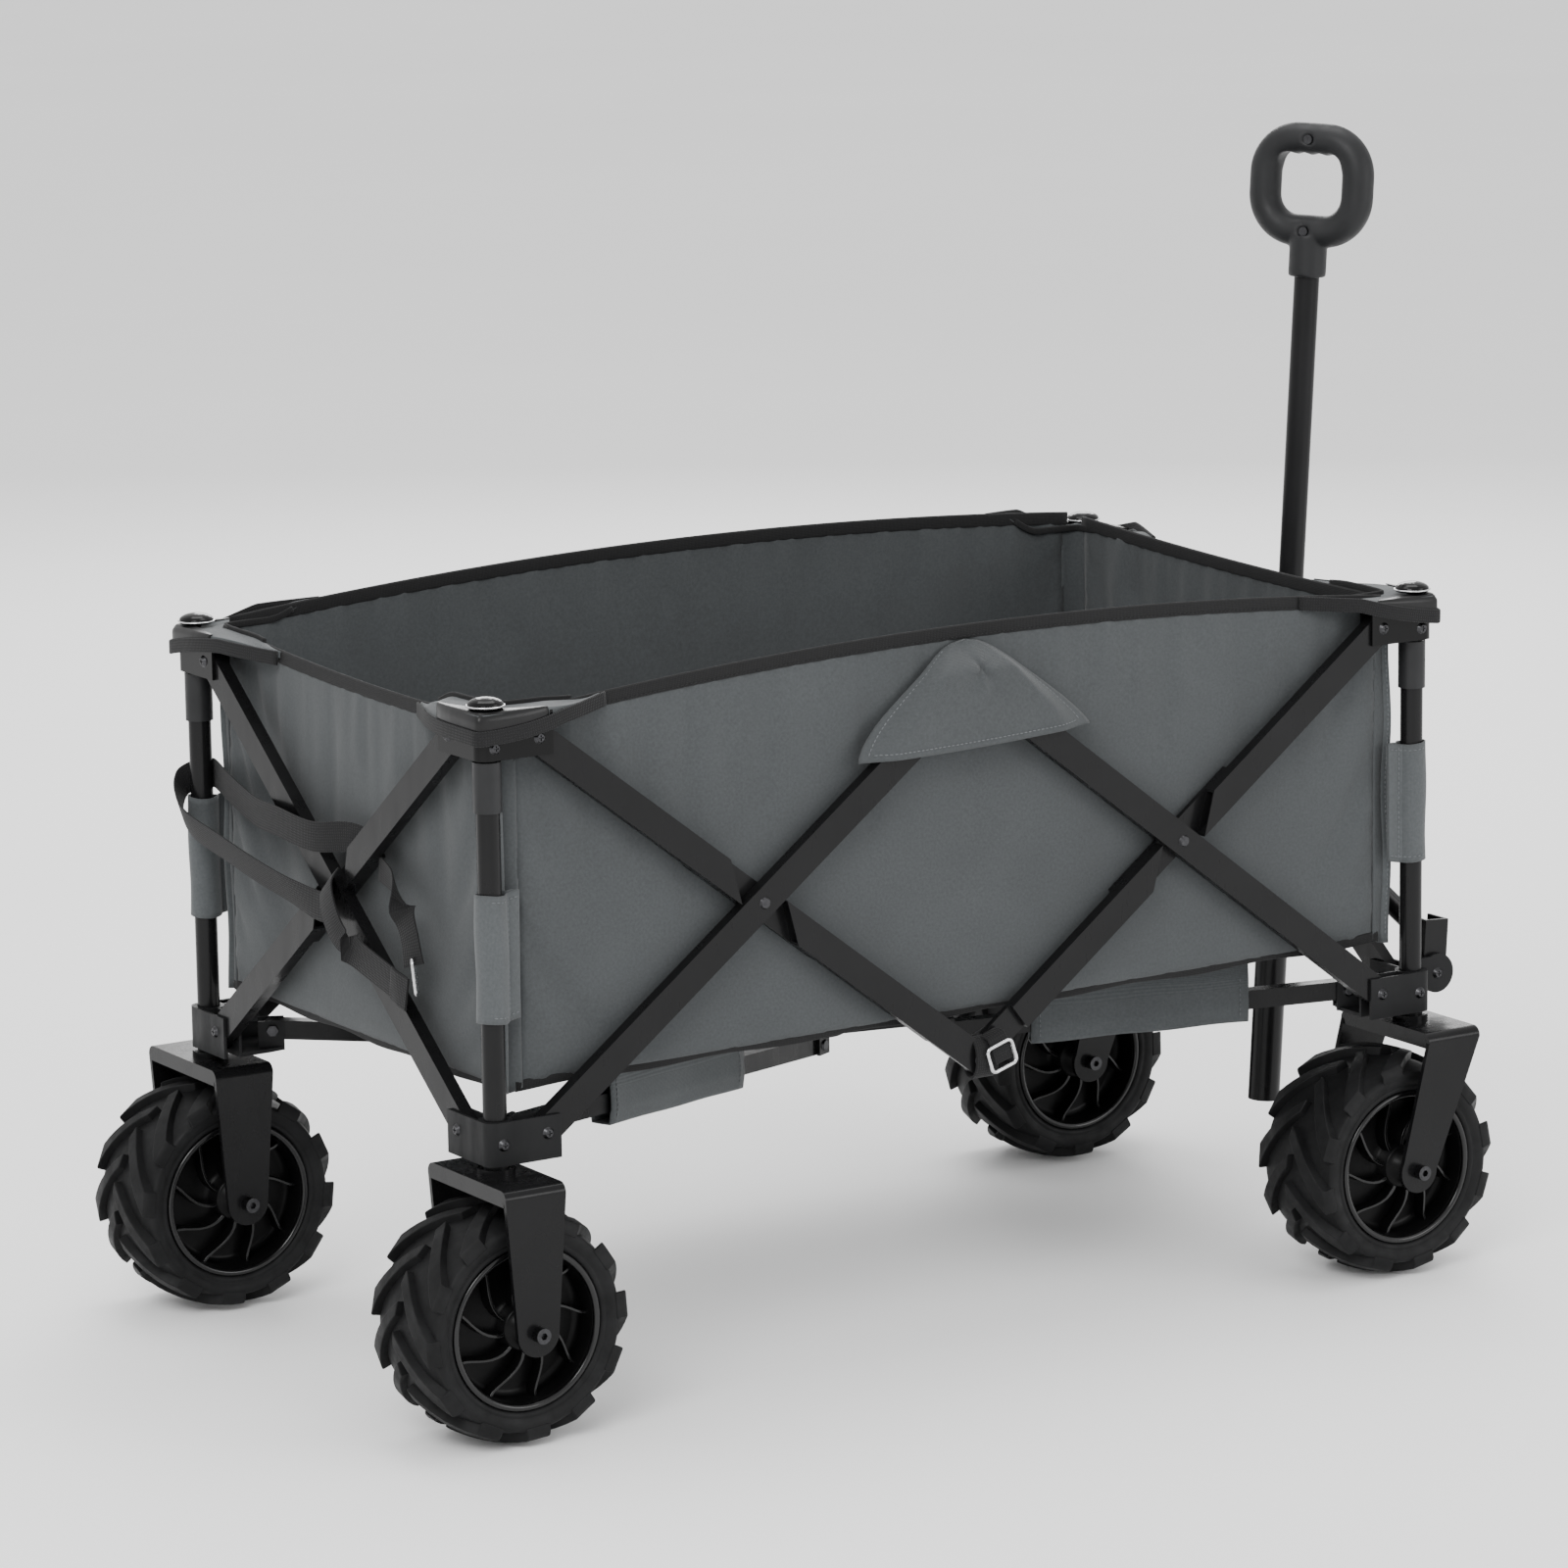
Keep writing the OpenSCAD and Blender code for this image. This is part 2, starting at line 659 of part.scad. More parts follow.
// Outer tube with two stop rings round the yoke collar and a bush at its mouth
module handle_outer_tube() {
    color("black") handle_frame() {
        difference() {
            union() {
                translate([0, 0, outer_tube_low])
                    cylinder(r = outer_tube_r, h = outer_tube_l - 4, $fn = 60);
                for (z = [yoke_top_h - 19, yoke_top_h + 15.4])
                    translate([0, 0, z]) cylinder(r = outer_tube_r + 3, h = 3.6, $fn = 60);
            }
            translate([0, 0, outer_tube_low - 1])
                cylinder(r = outer_tube_r - 1.5, h = outer_tube_l + 2, $fn = 60);
        }
    }
    color("dimgray") handle_frame() difference() {
        translate([0, 0, outer_tube_top - 34]) cylinder(r = outer_tube_r + 2.6, h = 34, $fn = 60);
        translate([0, 0, outer_tube_top - 35])
            cylinder(r = outer_tube_r + slip, h = 31 + slip, $fn = 60);
        translate([0, 0, outer_tube_top - 35]) cylinder(r = inner_tube_r + running, h = 40, $fn = 60);
    }
}

module handle_inner_tube() {
    low = outer_tube_top - overlap;
    color("black") handle_frame() difference() {
        translate([0, 0, low]) cylinder(r = inner_tube_r, h = neck_low + neck_h - 4 - low, $fn = 60);
        translate([0, 0, low - 1]) cylinder(r = inner_tube_r - 1.5, h = neck_low - low + neck_h, $fn = 60);
    }
}

// Closed loop grip: straight sides and quarter bends of round section, on a neck
module handle_grip() {
    sx = loop_half_w - loop_bend;
    sz = loop_half_h - loop_bend;
    color("dimgray") handle_frame() rotate([0, 0, grip_turn]) difference() {
        union() {
            translate([0, 0, loop_mid]) {
                for (a = [0:90:270]) rotate([a, 0, 0])
                    translate([0, a % 180 == 0 ? sx : sz, a % 180 == 0 ? sz : sx])
                        rotate([90, 0, 90])
                            rotate_extrude(angle = 90, $fn = 60) translate([loop_bend, 0])
                                circle(r = loop_tube_r, $fn = 40);
                for (v = [-1, 1]) {
                    translate([0, v * loop_half_w, -sz])
                        cylinder(r = loop_tube_r, h = 2 * sz, $fn = 40);
                    translate([0, 0, v * loop_half_h])
                        along_y(-sx) cylinder(r = loop_tube_r, h = 2 * sx, $fn = 40);
                }
            }
            translate([0, 0, neck_low]) cylinder(r = neck_r, h = neck_h + 6, $fn = 60);
        }
        translate([0, 0, neck_low - 1])
            cylinder(r = inner_tube_r + slip, h = neck_h - 3 + slip, $fn = 60);
        for (v = [-1.5:1:1.5])
            translate([-20, v * finger_pitch, loop_mid + loop_half_h - loop_tube_r - finger_r + 2])
                rotate([0, 90, 0]) cylinder(r = finger_r, h = 40, $fn = 40);
        grip_recesses(head_r + 0.5) cylinder(r = 2 + slip, h = 7, $fn = 30);
    }
    color("silver") handle_frame() rotate([0, 0, grip_turn])
        grip_recesses(0) translate([0, 0, -seat]) {
            cylinder(r = 2, h = 6, $fn = 30);
            translate([0, 0, -head_h]) cylinder(r = head_r - 1, h = head_h, $fn = 40);
        }
}

// The recesses for the screws that hold the two halves of the grip, bored from both faces
module grip_recesses(r) {
    for (turn = [0, 180], z = [loop_mid + loop_half_h, loop_mid - loop_half_h])
        translate([0, 0, z]) rotate([0, 0, turn])
            translate([-loop_tube_r + recess, 0, 0]) rotate([0, 90, 0]) {
                children();
                if (r > 0) translate([0, 0, -recess - 1]) cylinder(r = r, h = recess + 1, $fn = 40);
            }
}

// Open tub of cloth walls and floor, with a pocket over each side's upper middle joint
module fabric_bag() {
    l = bag_half_l;
    w = bag_half_w;
    h = rim_z - bag_floor_z;
    color("dimgray") translate([0, 0, bag_floor_z]) {
        linear_extrude(h) difference() {
            bag_plan(0);
            bag_plan(cloth);
        }
        linear_extrude(4) bag_plan(0);
        for (v = [-1, 1]) {
            translate([0, v * (w - cloth / 2) + cloth / 2, h]) rotate([90, 0, 0])
                linear_extrude(cloth) polygon([
                    [-l + bag_chamfer_l, -0.1],
                    for (a = [-0.9:0.15:0.9]) [a * (l - bag_chamfer_l), rim_arch * (1 - a * a)],
                    [l - bag_chamfer_l, -0.1]
                ]);
            translate([0, v * (post_y + plate_out + 3) + 1.5, 0]) rotate([90, 0, 0])
                linear_extrude(3) polygon([
                    [-pocket_half, h - 64], [pocket_half, h - 64], [30, h + 20], [-30, h + 20]
                ]);
        }
    }
}

module bag_plan(inset) {
    l = bag_half_l - inset;
    w = bag_half_w - inset;
    polygon([
        for (s = [[-1, -1], [1, -1], [1, 1], [-1, 1]])
            let (a = [s[0] * l, s[1] * (w - bag_chamfer_w)], b = [s[0] * (l - bag_chamfer_l), s[1] * w])
                for (p = s[0] == s[1] ? [a, b] : [b, a]) p
    ]);
}

// Webbing strap on the rear end, from the left post to the middle of the scissor
module rear_strap() {
    thick = 3;
    color("black") translate([-post_x - plate_out - 9, 0, 0]) rotate([90, 0, 90]) linear_extrude(thick)
        polygon([
            [post_y - 6, 478], [post_y - 6, 452], [6, 392], [-70, 330], [-92, 350], [-10, 420]
        ]);
}

lower_bracket(rear, right);  // lower_bracket_rear_right
lower_bracket(rear, left);  // lower_bracket_rear_left
lower_bracket(front, right);  // lower_bracket_front_right
lower_bracket(front, left);  // lower_bracket_front_left
post(rear, right);  // post_rear_right
post(rear, left);  // post_rear_left
post(front, right);  // post_front_right
post(front, left);  // post_front_left
upper_bracket(rear, right);  // upper_bracket_rear_right
upper_bracket(rear, left);  // upper_bracket_rear_left
upper_bracket(front, right);  // upper_bracket_front_right
upper_bracket(front, left);  // upper_bracket_front_left
inner_post(rear, right);  // inner_post_rear_right
inner_post(rear, left);  // inner_post_rear_left
inner_post(front, right);  // inner_post_front_right
inner_post(front, left);  // inner_post_front_left
fork(rear, right);  // fork_rear_right
fork(rear, left);  // fork_rear_left
fork(front, right);  // fork_front_right
fork(front, left);  // fork_front_left
axle(rear, right);  // axle_rear_right
axle(rear, left);  // axle_rear_left
axle(front, right);  // axle_front_right
axle(front, left);  // axle_front_left
tyre(rear, right);  // tyre_rear_right
tyre(rear, left);  // tyre_rear_left
tyre(front, right);  // tyre_front_right
tyre(front, left);  // tyre_front_left
rim(rear, right);  // rim_rear_right
rim(rear, left);  // rim_rear_left
rim(front, right);  // rim_front_right
rim(front, left);  // rim_front_left
rising_arm(rear, right);  // rising_arm_rear_right
falling_arm(rear, right);  // falling_arm_rear_right
rising_arm(front, right);  // rising_arm_front_right
falling_arm(front, right);  // falling_arm_front_right
rising_arm(rear, left);  // rising_arm_rear_left
falling_arm(rear, left);  // falling_arm_rear_left
rising_arm(front, left);  // rising_arm_front_left
falling_arm(front, left);  // falling_arm_front_left
end_arm_outer(rear);  // end_arm_rear_outer
end_arm_crimped(rear);  // end_arm_rear_crimped
end_arm_outer(front);  // end_arm_front_outer
end_arm_crimped(front);  // end_arm_front_crimped
floor_bar(rear, right);  // floor_bar_rear_right
floor_bar(rear, left);  // floor_bar_rear_left
floor_bar(front, right);  // floor_bar_front_right
floor_bar(front, left);  // floor_bar_front_left
floor_hub();
yoke_channel(right);  // yoke_channel_right
yoke_channel(left);  // yoke_channel_left
yoke_arm(right);  // yoke_arm_right
yoke_arm(left);  // yoke_arm_left
yoke_collar();
handle_outer_tube();
handle_inner_tube();
handle_grip();
fabric_bag();
rear_strap();
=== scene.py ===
"""The looks of a folding utility wagon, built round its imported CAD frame.

+X is the front (the handle's end), +Y the left side and +Z up, all in metres.
"""

import functools
import math

import bmesh
import bpy
from mathutils import Matrix, Vector, noise


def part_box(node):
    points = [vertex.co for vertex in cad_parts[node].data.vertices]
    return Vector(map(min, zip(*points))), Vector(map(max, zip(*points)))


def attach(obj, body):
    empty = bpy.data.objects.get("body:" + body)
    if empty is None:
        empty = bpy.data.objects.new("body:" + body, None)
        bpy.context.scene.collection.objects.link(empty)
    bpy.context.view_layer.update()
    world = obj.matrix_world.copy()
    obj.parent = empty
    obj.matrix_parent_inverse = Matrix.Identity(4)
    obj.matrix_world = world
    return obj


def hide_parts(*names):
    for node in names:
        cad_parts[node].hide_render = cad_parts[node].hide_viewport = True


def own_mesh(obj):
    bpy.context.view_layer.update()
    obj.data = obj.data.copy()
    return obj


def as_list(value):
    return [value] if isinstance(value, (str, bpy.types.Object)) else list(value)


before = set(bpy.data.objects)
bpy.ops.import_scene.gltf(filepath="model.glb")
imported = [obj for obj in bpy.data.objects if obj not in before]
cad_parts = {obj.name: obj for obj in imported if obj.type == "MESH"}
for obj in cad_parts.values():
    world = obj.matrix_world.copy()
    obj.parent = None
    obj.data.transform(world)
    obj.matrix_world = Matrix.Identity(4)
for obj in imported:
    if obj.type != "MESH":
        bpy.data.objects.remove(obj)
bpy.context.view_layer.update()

ENDS = {"rear": -1, "front": 1}
SIDES = {"right": -1, "left": 1}
CORNERS = [(end, side) for end in ENDS for side in SIDES]


def middle(node):
    low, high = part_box(node)
    return (low + high) / 2


# Places and sizes taken from the frame
POST = middle("inner_post_front_left")
POST_R = (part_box("inner_post_front_left")[1].x - POST.x) + 0.0013
BAG_LOW, BAG_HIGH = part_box("fabric_bag")
ARM_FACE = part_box("end_arm_front_outer")[1].x - POST.x
WHEEL_R = (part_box("tyre_rear_right")[1].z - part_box("tyre_rear_right")[0].z) / 2
HALF_L = BAG_HIGH.x - 0.002
HALF_W = POST.y - 0.0115
FLOOR_Z = BAG_LOW.z

# Height of each side's rim over the posts and how far it arches, and the cut at the tub's corners
CORNER_CUT = 0.016
RIM_Z = {"right": 0.573, "left": 0.587}
RIM_RISE = {"right": 0.024, "left": 0.021}

# How long the walls hang in the simulation, and how far it may move a place on them
SETTLE_FRAMES = 16
MOST_HANG = 0.007

CLOTH_T = 0.0011
WEBBING_T = 0.0016
BINDING_H = 0.012
WALL_OUT = 0.0022
UP = Vector((0, 0, 1))


# Materials


def grey(value):
    return (value, value, value)


def tint(colour, factor):
    return tuple(min(1, c * factor) for c in colour)


class Finish:
    """A material in the making: its Principled shader and the nodes that give it colour and grain."""

    def __init__(self, name, roughness, metallic=0.0, coat=0.0, sheen=0.0, gloss=0.5):
        self.material = bpy.data.materials.new(name)
        self.material.use_nodes = True
        self.shader = self.material.node_tree.nodes["Principled BSDF"]
        settings = {
            "Roughness": roughness, "Metallic": metallic, "Specular IOR Level": gloss, "Coat Weight": coat,
            "Coat Roughness": 0.12, "Sheen Weight": sheen, "Sheen Roughness": 0.5,
        }
        for key, value in settings.items():
            self.shader.inputs[key].default_value = value

    def node(self, kind, **values):
        """A new node with the named inputs set."""
        node = self.material.node_tree.nodes.new(kind)
        for key, value in values.items():
            node.inputs[key].default_value = value
        return node

    def join(self, source, target):
        self.material.node_tree.links.new(source, target)

    def noise(self, scale, detail=4.0, stretch=(1, 1, 1)):
        """Noise in the object's own space, in metres, drawn out along an axis where stretch is small."""
        mapping = self.node("ShaderNodeMapping", Scale=stretch)
        texture = self.node("ShaderNodeTexNoise", Scale=scale, Detail=detail, Roughness=0.6)
        self.join(self.node("ShaderNodeTexCoord").outputs["Object"], mapping.inputs["Vector"])
        self.join(mapping.outputs["Vector"], texture.inputs["Vector"])
        return texture.outputs["Fac"]

    def waves(self, direction, pitch):
        """Straight ribs of that pitch in metres along the cloth's own U or V."""
        texture = self.node("ShaderNodeTexWave", Scale=math.tau / (20 * pitch), Distortion=0.0)
        texture.bands_direction = direction
        self.join(self.node("ShaderNodeTexCoord").outputs["UV"], texture.inputs["Vector"])
        return texture.outputs["Fac"]

    def ramp(self, source, low, high, start=0.3, end=0.7):
        """Two colours blended by a texture."""
        node = self.node("ShaderNodeValToRGB")
        for element, position, colour in zip(node.color_ramp.elements, (start, end), (low, high)):
            element.position = position
            element.color = (*colour, 1)
        self.join(source, node.inputs["Fac"])
        return node.outputs["Color"]

    def multiply(self, first, second):
        node = self.node("ShaderNodeMix")
        node.data_type = "RGBA"
        node.blend_type = "MULTIPLY"
        node.inputs["Factor"].default_value = 1.0
        self.join(first, node.inputs[6])
        self.join(second, node.inputs[7])
        return node.outputs[2]

    def cloud(self, source, colour, dark, light, *span):
        """Base colour that wanders between a darker and a lighter shade."""
        shades = self.ramp(source, tint(colour, dark), tint(colour, light), *span)
        self.join(shades, self.shader.inputs["Base Color"])

    def wear(self, source, smooth, rough, *span):
        """Roughness that wanders between two values."""
        self.join(self.ramp(source, grey(smooth), grey(rough), *span), self.shader.inputs["Roughness"])

    def bump(self, height, distance, strength=1.0):
        """Adds relief of that depth in metres on top of any relief already there."""
        node = self.node("ShaderNodeBump", Strength=strength, Distance=distance)
        self.join(height, node.inputs["Height"])
        normal = self.shader.inputs["Normal"]
        if normal.links:
            self.join(normal.links[0].from_socket, node.inputs["Normal"])
        self.join(node.outputs["Normal"], normal)


def paint(name, colour, roughness, coat, peel):
    """Powder coat: orange peel, a faint cloudiness of colour and uneven gloss."""
    finish = Finish(name, roughness, coat=coat, gloss=0.12)
    finish.cloud(finish.noise(14), colour, 0.82, 1.2)
    finish.wear(finish.noise(55, 8, (1, 1, 0.25)), roughness * 0.78, min(1, roughness * 1.3), 0.35, 0.68)
    finish.bump(finish.noise(900, 2), peel)
    finish.bump(finish.noise(240, 2), peel * 1.6)
    return finish.material


def plastic(name, colour, roughness, grain, coat=0.0, gloss=0.22):
    """Moulded plastic: fine spark-eroded grain and slightly cloudy colour."""
    finish = Finish(name, roughness, coat=coat, gloss=gloss)
    finish.cloud(finish.noise(30), colour, 0.85, 1.15)
    finish.wear(finish.noise(90, 6), roughness * 0.85, roughness * 1.2)
    finish.bump(finish.noise(1500, 3), grain)
    return finish.material


def rubber(name, colour):
    """Moulded tyre: matt, dusty in patches, with fine pores and faint blotches from the mould."""
    finish = Finish(name, 0.62, gloss=0.16)
    finish.cloud(finish.noise(38, 9), colour, 0.72, 1.5, 0.38, 0.72)
    finish.wear(finish.noise(70, 6), 0.46, 0.72)
    finish.bump(finish.noise(1400, 3), 0.00006)
    finish.bump(finish.noise(160, 4), 0.00012)
    return finish.material


def steel(name, colour, roughness):
    """Plated fastener: fine turning marks and a slightly stained plating."""
    finish = Finish(name, roughness, metallic=1.0)
    finish.cloud(finish.noise(260, 5), colour, 0.65, 1.1)
    finish.wear(finish.noise(700, 5), roughness * 0.7, roughness * 1.4)
    finish.bump(finish.noise(1800, 2), 0.00002)
    return finish.material


def woven(name, colour, pitch, depth, sheen):
    """Cloth with a plain weave of that thread pitch, slubs, and soft blotches of shade."""
    finish = Finish(name, 0.86, sheen=sheen, gloss=0.25)
    crossing = finish.node("ShaderNodeMath")
    crossing.operation = "MULTIPLY"
    for socket, direction in zip(crossing.inputs, "XY"):
        finish.join(finish.waves(direction, pitch), socket)
    weave = crossing.outputs["Value"]
    thread = finish.ramp(weave, tint(colour, 0.8), tint(colour, 1.16), 0.0, 0.9)
    slub = finish.ramp(finish.noise(420, 6), grey(0.86), grey(1.12))
    blotch = finish.ramp(finish.noise(9, 3), grey(0.93), grey(1.06))
    finish.join(finish.multiply(finish.multiply(thread, slub), blotch), finish.shader.inputs["Base Color"])
    finish.bump(weave, depth, 0.8)
    finish.bump(finish.noise(130, 4), 0.0004, 0.35)
    return finish.material


GREY_CLOTH = (0.054, 0.0588, 0.0612)
CLOTH = woven("woven_polyester", GREY_CLOTH, 0.0009, 0.00012, 0.1)
CLOTH_EDGE = woven("hemmed_polyester", tint(GREY_CLOTH, 1.3), 0.0009, 0.00014, 0.14)
WEBBING = woven("black_webbing", (0.0085, 0.0085, 0.009), 0.0022, 0.0005, 0.05)
BINDING = woven("black_binding", (0.0088, 0.0088, 0.0092), 0.0014, 0.0003, 0.04)
THREAD = woven("grey_thread", (0.13, 0.138, 0.144), 0.0005, 0.0001, 0.1)
TUBE_PAINT = paint("gloss_black_powder_coat", (0.006, 0.006, 0.0063), 0.3, 0.1, 0.00001)
BRACKET_PAINT = paint("matt_black_powder_coat", (0.0105, 0.0107, 0.0112), 0.48, 0.0, 0.00003)
FORK_PAINT = paint("satin_black_powder_coat", (0.0048, 0.0048, 0.0051), 0.25, 0.1, 0.00001)
INNER_PAINT = paint("satin_inner_tube", (0.008, 0.008, 0.0085), 0.36, 0.05, 0.00001)
COLLAR_PLASTIC = plastic("satin_collar_plastic", (0.0135, 0.0138, 0.0146), 0.4, 0.00002)
GRIP_PLASTIC = plastic("grained_grip_plastic", (0.0125, 0.0128, 0.0136), 0.46, 0.00009)
RIM_PLASTIC = plastic("satin_rim_plastic", (0.003, 0.003, 0.0031), 0.34, 0.000006, 0.0, 0.1)
# Rib crests and lips: the rim plastic made glossier, and lighter in colour as a painted highlight along the
# edges
RIM_EDGE_HIGHLIGHT = plastic("rim_edge_painted_highlight", (0.0042, 0.0042, 0.0044), 0.2, 0.000004, 0.28, 0.22)
CAP_PLASTIC = plastic("gloss_cap_plastic", (0.003, 0.003, 0.0031), 0.12, 0.000004, 0.1, 0.1)
COVER_PLASTIC = plastic("satin_cover_plastic", (0.007, 0.007, 0.0073), 0.34, 0.00001, 0.05)
TYRE_RUBBER = rubber("tyre_rubber", (0.0062, 0.0063, 0.0066))
SCREW_STEEL = steel("black_zinc_screw", (0.055, 0.055, 0.058), 0.34)
BRIGHT_STEEL = steel("bright_zinc", (0.72, 0.72, 0.73), 0.22)


# Mesh tools


def add_object(name, data):
    thing = bpy.data.objects.new(name, data)
    bpy.context.scene.collection.objects.link(thing)
    return thing


def mesh_piece(name, points, faces, uvs=None):
    """A smooth mesh object with one UV pair, in metres, for each point."""
    mesh = bpy.data.meshes.new(name)
    mesh.from_pydata([tuple(p) for p in points], [], faces)
    if uvs:
        layer = mesh.uv_layers.new(name="metres")
        for loop in mesh.loops:
            layer.data[loop.index].uv = uvs[loop.vertex_index]
    mesh.polygons.foreach_set("use_smooth", [True] * len(mesh.polygons))
    mesh.update()
    return add_object(name, mesh)


def skin(rows, ring, base=0, closed=False, tube=True):
    """Faces over rows of points, ring points to a row, from point number base on.

    closed joins the last row to the first, and tube each row's last point to its first. A tube that
    isn't closed gets a face over each end.
    """
    faces = []
    for i in range(rows if closed else rows - 1):
        here, there = base + i * ring, base + (i + 1) % rows * ring
        for k in range(ring if tube else ring - 1):
            after = (k + 1) % ring
            faces.append((here + k, here + after, there + after, there + k))
    if tube and not closed:
        last = base + (rows - 1) * ring
        faces += [tuple(range(base, base + ring))[::-1], tuple(range(last, last + ring))]
    return faces


def grid_piece(name, cols, rows, point, width, length):
    """An open sheet: point(u, v) gives its surface for u and v from 0 to 1."""
    places = [(i / cols, j / rows) for j in range(rows + 1) for i in range(cols + 1)]
    uvs = [(u * width, v * length) for u, v in places]
    return mesh_piece(name, [point(u, v) for u, v in places], skin(rows + 1, cols + 1, tube=False), uvs)


def spline(points, steps):
    """A smooth path through a few points, with that many steps between each two."""
    points = [Vector(p) for p in points]
    ends = [2 * points[0] - points[1], *points, 2 * points[-1] - points[-2]]
    path = []
    for a, b, c, d in zip(ends, ends[1:], ends[2:], ends[3:]):
        for i in range(steps):
            t = i / steps
            square = (2 * a - 5 * b + 4 * c - d) * t * t
            cube = (3 * b - a - 3 * c + d) * t**3
            path.append(0.5 * (2 * b + (c - a) * t + square + cube))
    return path + [points[-1]]


def rounded_section(width, thickness, arc=3):
    """A closed outline of a strip with round edges, as (across, up) pairs."""
    radius = thickness / 2
    outline = []
    for sign, start in ((1, -90), (-1, 90)):
        for k in range(arc * 2 + 1):
            angle = math.radians(start + 90 * k / arc)
            middle_of_arc = sign * (width / 2 - radius)
            outline.append((middle_of_arc + radius * math.cos(angle), radius * math.sin(angle)))
    return outline


def oval_section(half_w, half_h, sides):
    angles = [math.tau * k / sides for k in range(sides)]
    return [(half_w * math.cos(a), half_h * math.sin(a)) for a in angles]


def sweep_piece(name, path, across, section, closed=False):
    """A section swept along a path. across is one direction, or one for each point of the path."""
    path = [Vector(p) for p in path]
    count = len(path)
    sides = across if isinstance(across, list) else [across] * count
    points, uvs, run = [], [], 0.0
    for i, place in enumerate(path):
        ahead = path[(i + 1) % count] if closed else path[min(i + 1, count - 1)]
        behind = path[i - 1] if closed or i else path[0]
        tangent = (ahead - behind).normalized()
        up = tangent.cross(Vector(sides[i])).normalized()
        side = up.cross(tangent).normalized()
        run += (place - path[i - 1]).length if i else 0
        for a, b in section:
            points.append(place + side * a + up * b)
            uvs.append((run, a))
    return mesh_piece(name, points, skin(count, len(section), closed=closed), uvs)


def evenly(path, pitch):
    """Places along a path at an even pitch, each with its direction."""
    path = [Vector(p) for p in path]
    found, left = [], pitch / 2
    for a, b in zip(path, path[1:]):
        length = (b - a).length
        while left < length:
            found.append((a.lerp(b, left / length), (b - a).normalized()))
            left += pitch
        left -= length
    return found


def stitches(name, path, outward, body, material=THREAD, slot="fabric"):
    """A row of sewn stitches: each is a short spindle of thread lying on the cloth."""
    pitch, length, thread, sides = 0.0042, 0.003, 0.0005, 5
    points, faces, uvs = [], [], []
    out = Vector(outward).normalized()
    for place, tangent in evenly(path, pitch):
        side = tangent.cross(out).normalized()
        faces += skin(4, sides, len(points))
        for step, radius in ((-0.5, 0.35), (-0.2, 1.0), (0.2, 1.0), (0.5, 0.35)):
            for k in range(sides):
                angle = math.tau * k / sides
                ring = side * math.cos(angle) + out * math.sin(angle)
                points.append(place + tangent * step * length + ring * thread * radius)
                uvs.append((step * length, k * thread))
    return dress(mesh_piece(name, points, faces, uvs), material, slot, body)


def modify(piece, kind, **values):
    """Adds a modifier with the named settings."""
    modifier = piece.modifiers.new(kind.lower(), kind)
    for key, value in values.items():
        setattr(modifier, key, value)
    return piece


def thicken(piece, thickness):
    return modify(piece, "SOLIDIFY", thickness=thickness, offset=0.0)


def soften(piece, width):
    """Rounds the piece's sharp edges, so that they catch the light."""
    angle = math.radians(35)
    return modify(
        piece, "BEVEL", width=width, segments=2, limit_method="ANGLE", angle_limit=angle, harden_normals=True
    )


def recalculate(piece):
    """Turns every face outwards."""
    cleaned = bmesh.new()
    cleaned.from_mesh(piece.data)
    bmesh.ops.recalc_face_normals(cleaned, faces=cleaned.faces)
    cleaned.to_mesh(piece.data)
    cleaned.free()
    return piece


def dress(piece, material, slot, body):
    """Gives a piece its material and the body that it rides on."""
    if not piece.data.materials:
        piece.data.materials.append(material)
    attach(piece, body)
    return piece


def sew(piece, body, thickness=CLOTH_T, material=CLOTH):
    """Thickens a cloth sheet and gives it its finish and the body that it rides on."""
    return dress(thicken(piece, thickness), material, "fabric", body)


def smoothstep(t):
    t = max(0.0, min(1.0, t))
    return t * t * (3 - 2 * t)


def mix(a, b, t):
    return a + (b - a) * t


# Wheels

LUGS = 12
LUG_STEPS = 9
LUG_SWEEP = math.radians(33)
RIBS = 9


def on_wheel(radius, y, angle):
    return Vector((radius * math.cos(angle), y, radius * math.sin(angle)))


def lathe_piece(name, profile, segments, tube):
    """A profile of (radius, y) pairs turned about the wheel's axle; tube if the profile closes."""
    points = [on_wheel(r, y, math.tau * i / segments) for i in range(segments) for r, y in profile]
    uvs = [(i / segments * 0.5, k * 0.004) for i in range(segments) for k in range(len(profile))]
    return mesh_piece(name, points, skin(segments, len(profile), closed=True, tube=tube), uvs)


def mirrored(half):
    """A profile's left half and, back from its end, the right one."""
    return half + [(r, -y) for r, y in reversed(half)]


def carcass_radius(y):
    return WHEEL_R - 0.0072 - 0.0075 * (abs(y) / 0.045) ** 3


def lug_radius(y):
    return WHEEL_R - 0.0004 - 0.0052 * (abs(y) / 0.045) ** 2.4


# The tyre without its lugs: bead, flat side wall and round shoulder, then the crown
TYRE_HALF = [
    (0.0655, 0.04), (0.0668, 0.0432), (0.0685, 0.0446), (0.0705, 0.0449), (0.0715, 0.0441),
    (0.0728, 0.0452), (0.076, 0.0463), (WHEEL_R - 0.0175, 0.0466), (WHEEL_R - 0.0148, 0.0459),
    (WHEEL_R - 0.0136, 0.044),
]
TYRE_HALF += [(carcass_radius(y), y) for y in (0.041, 0.036, 0.03, 0.022, 0.013, 0.004)]


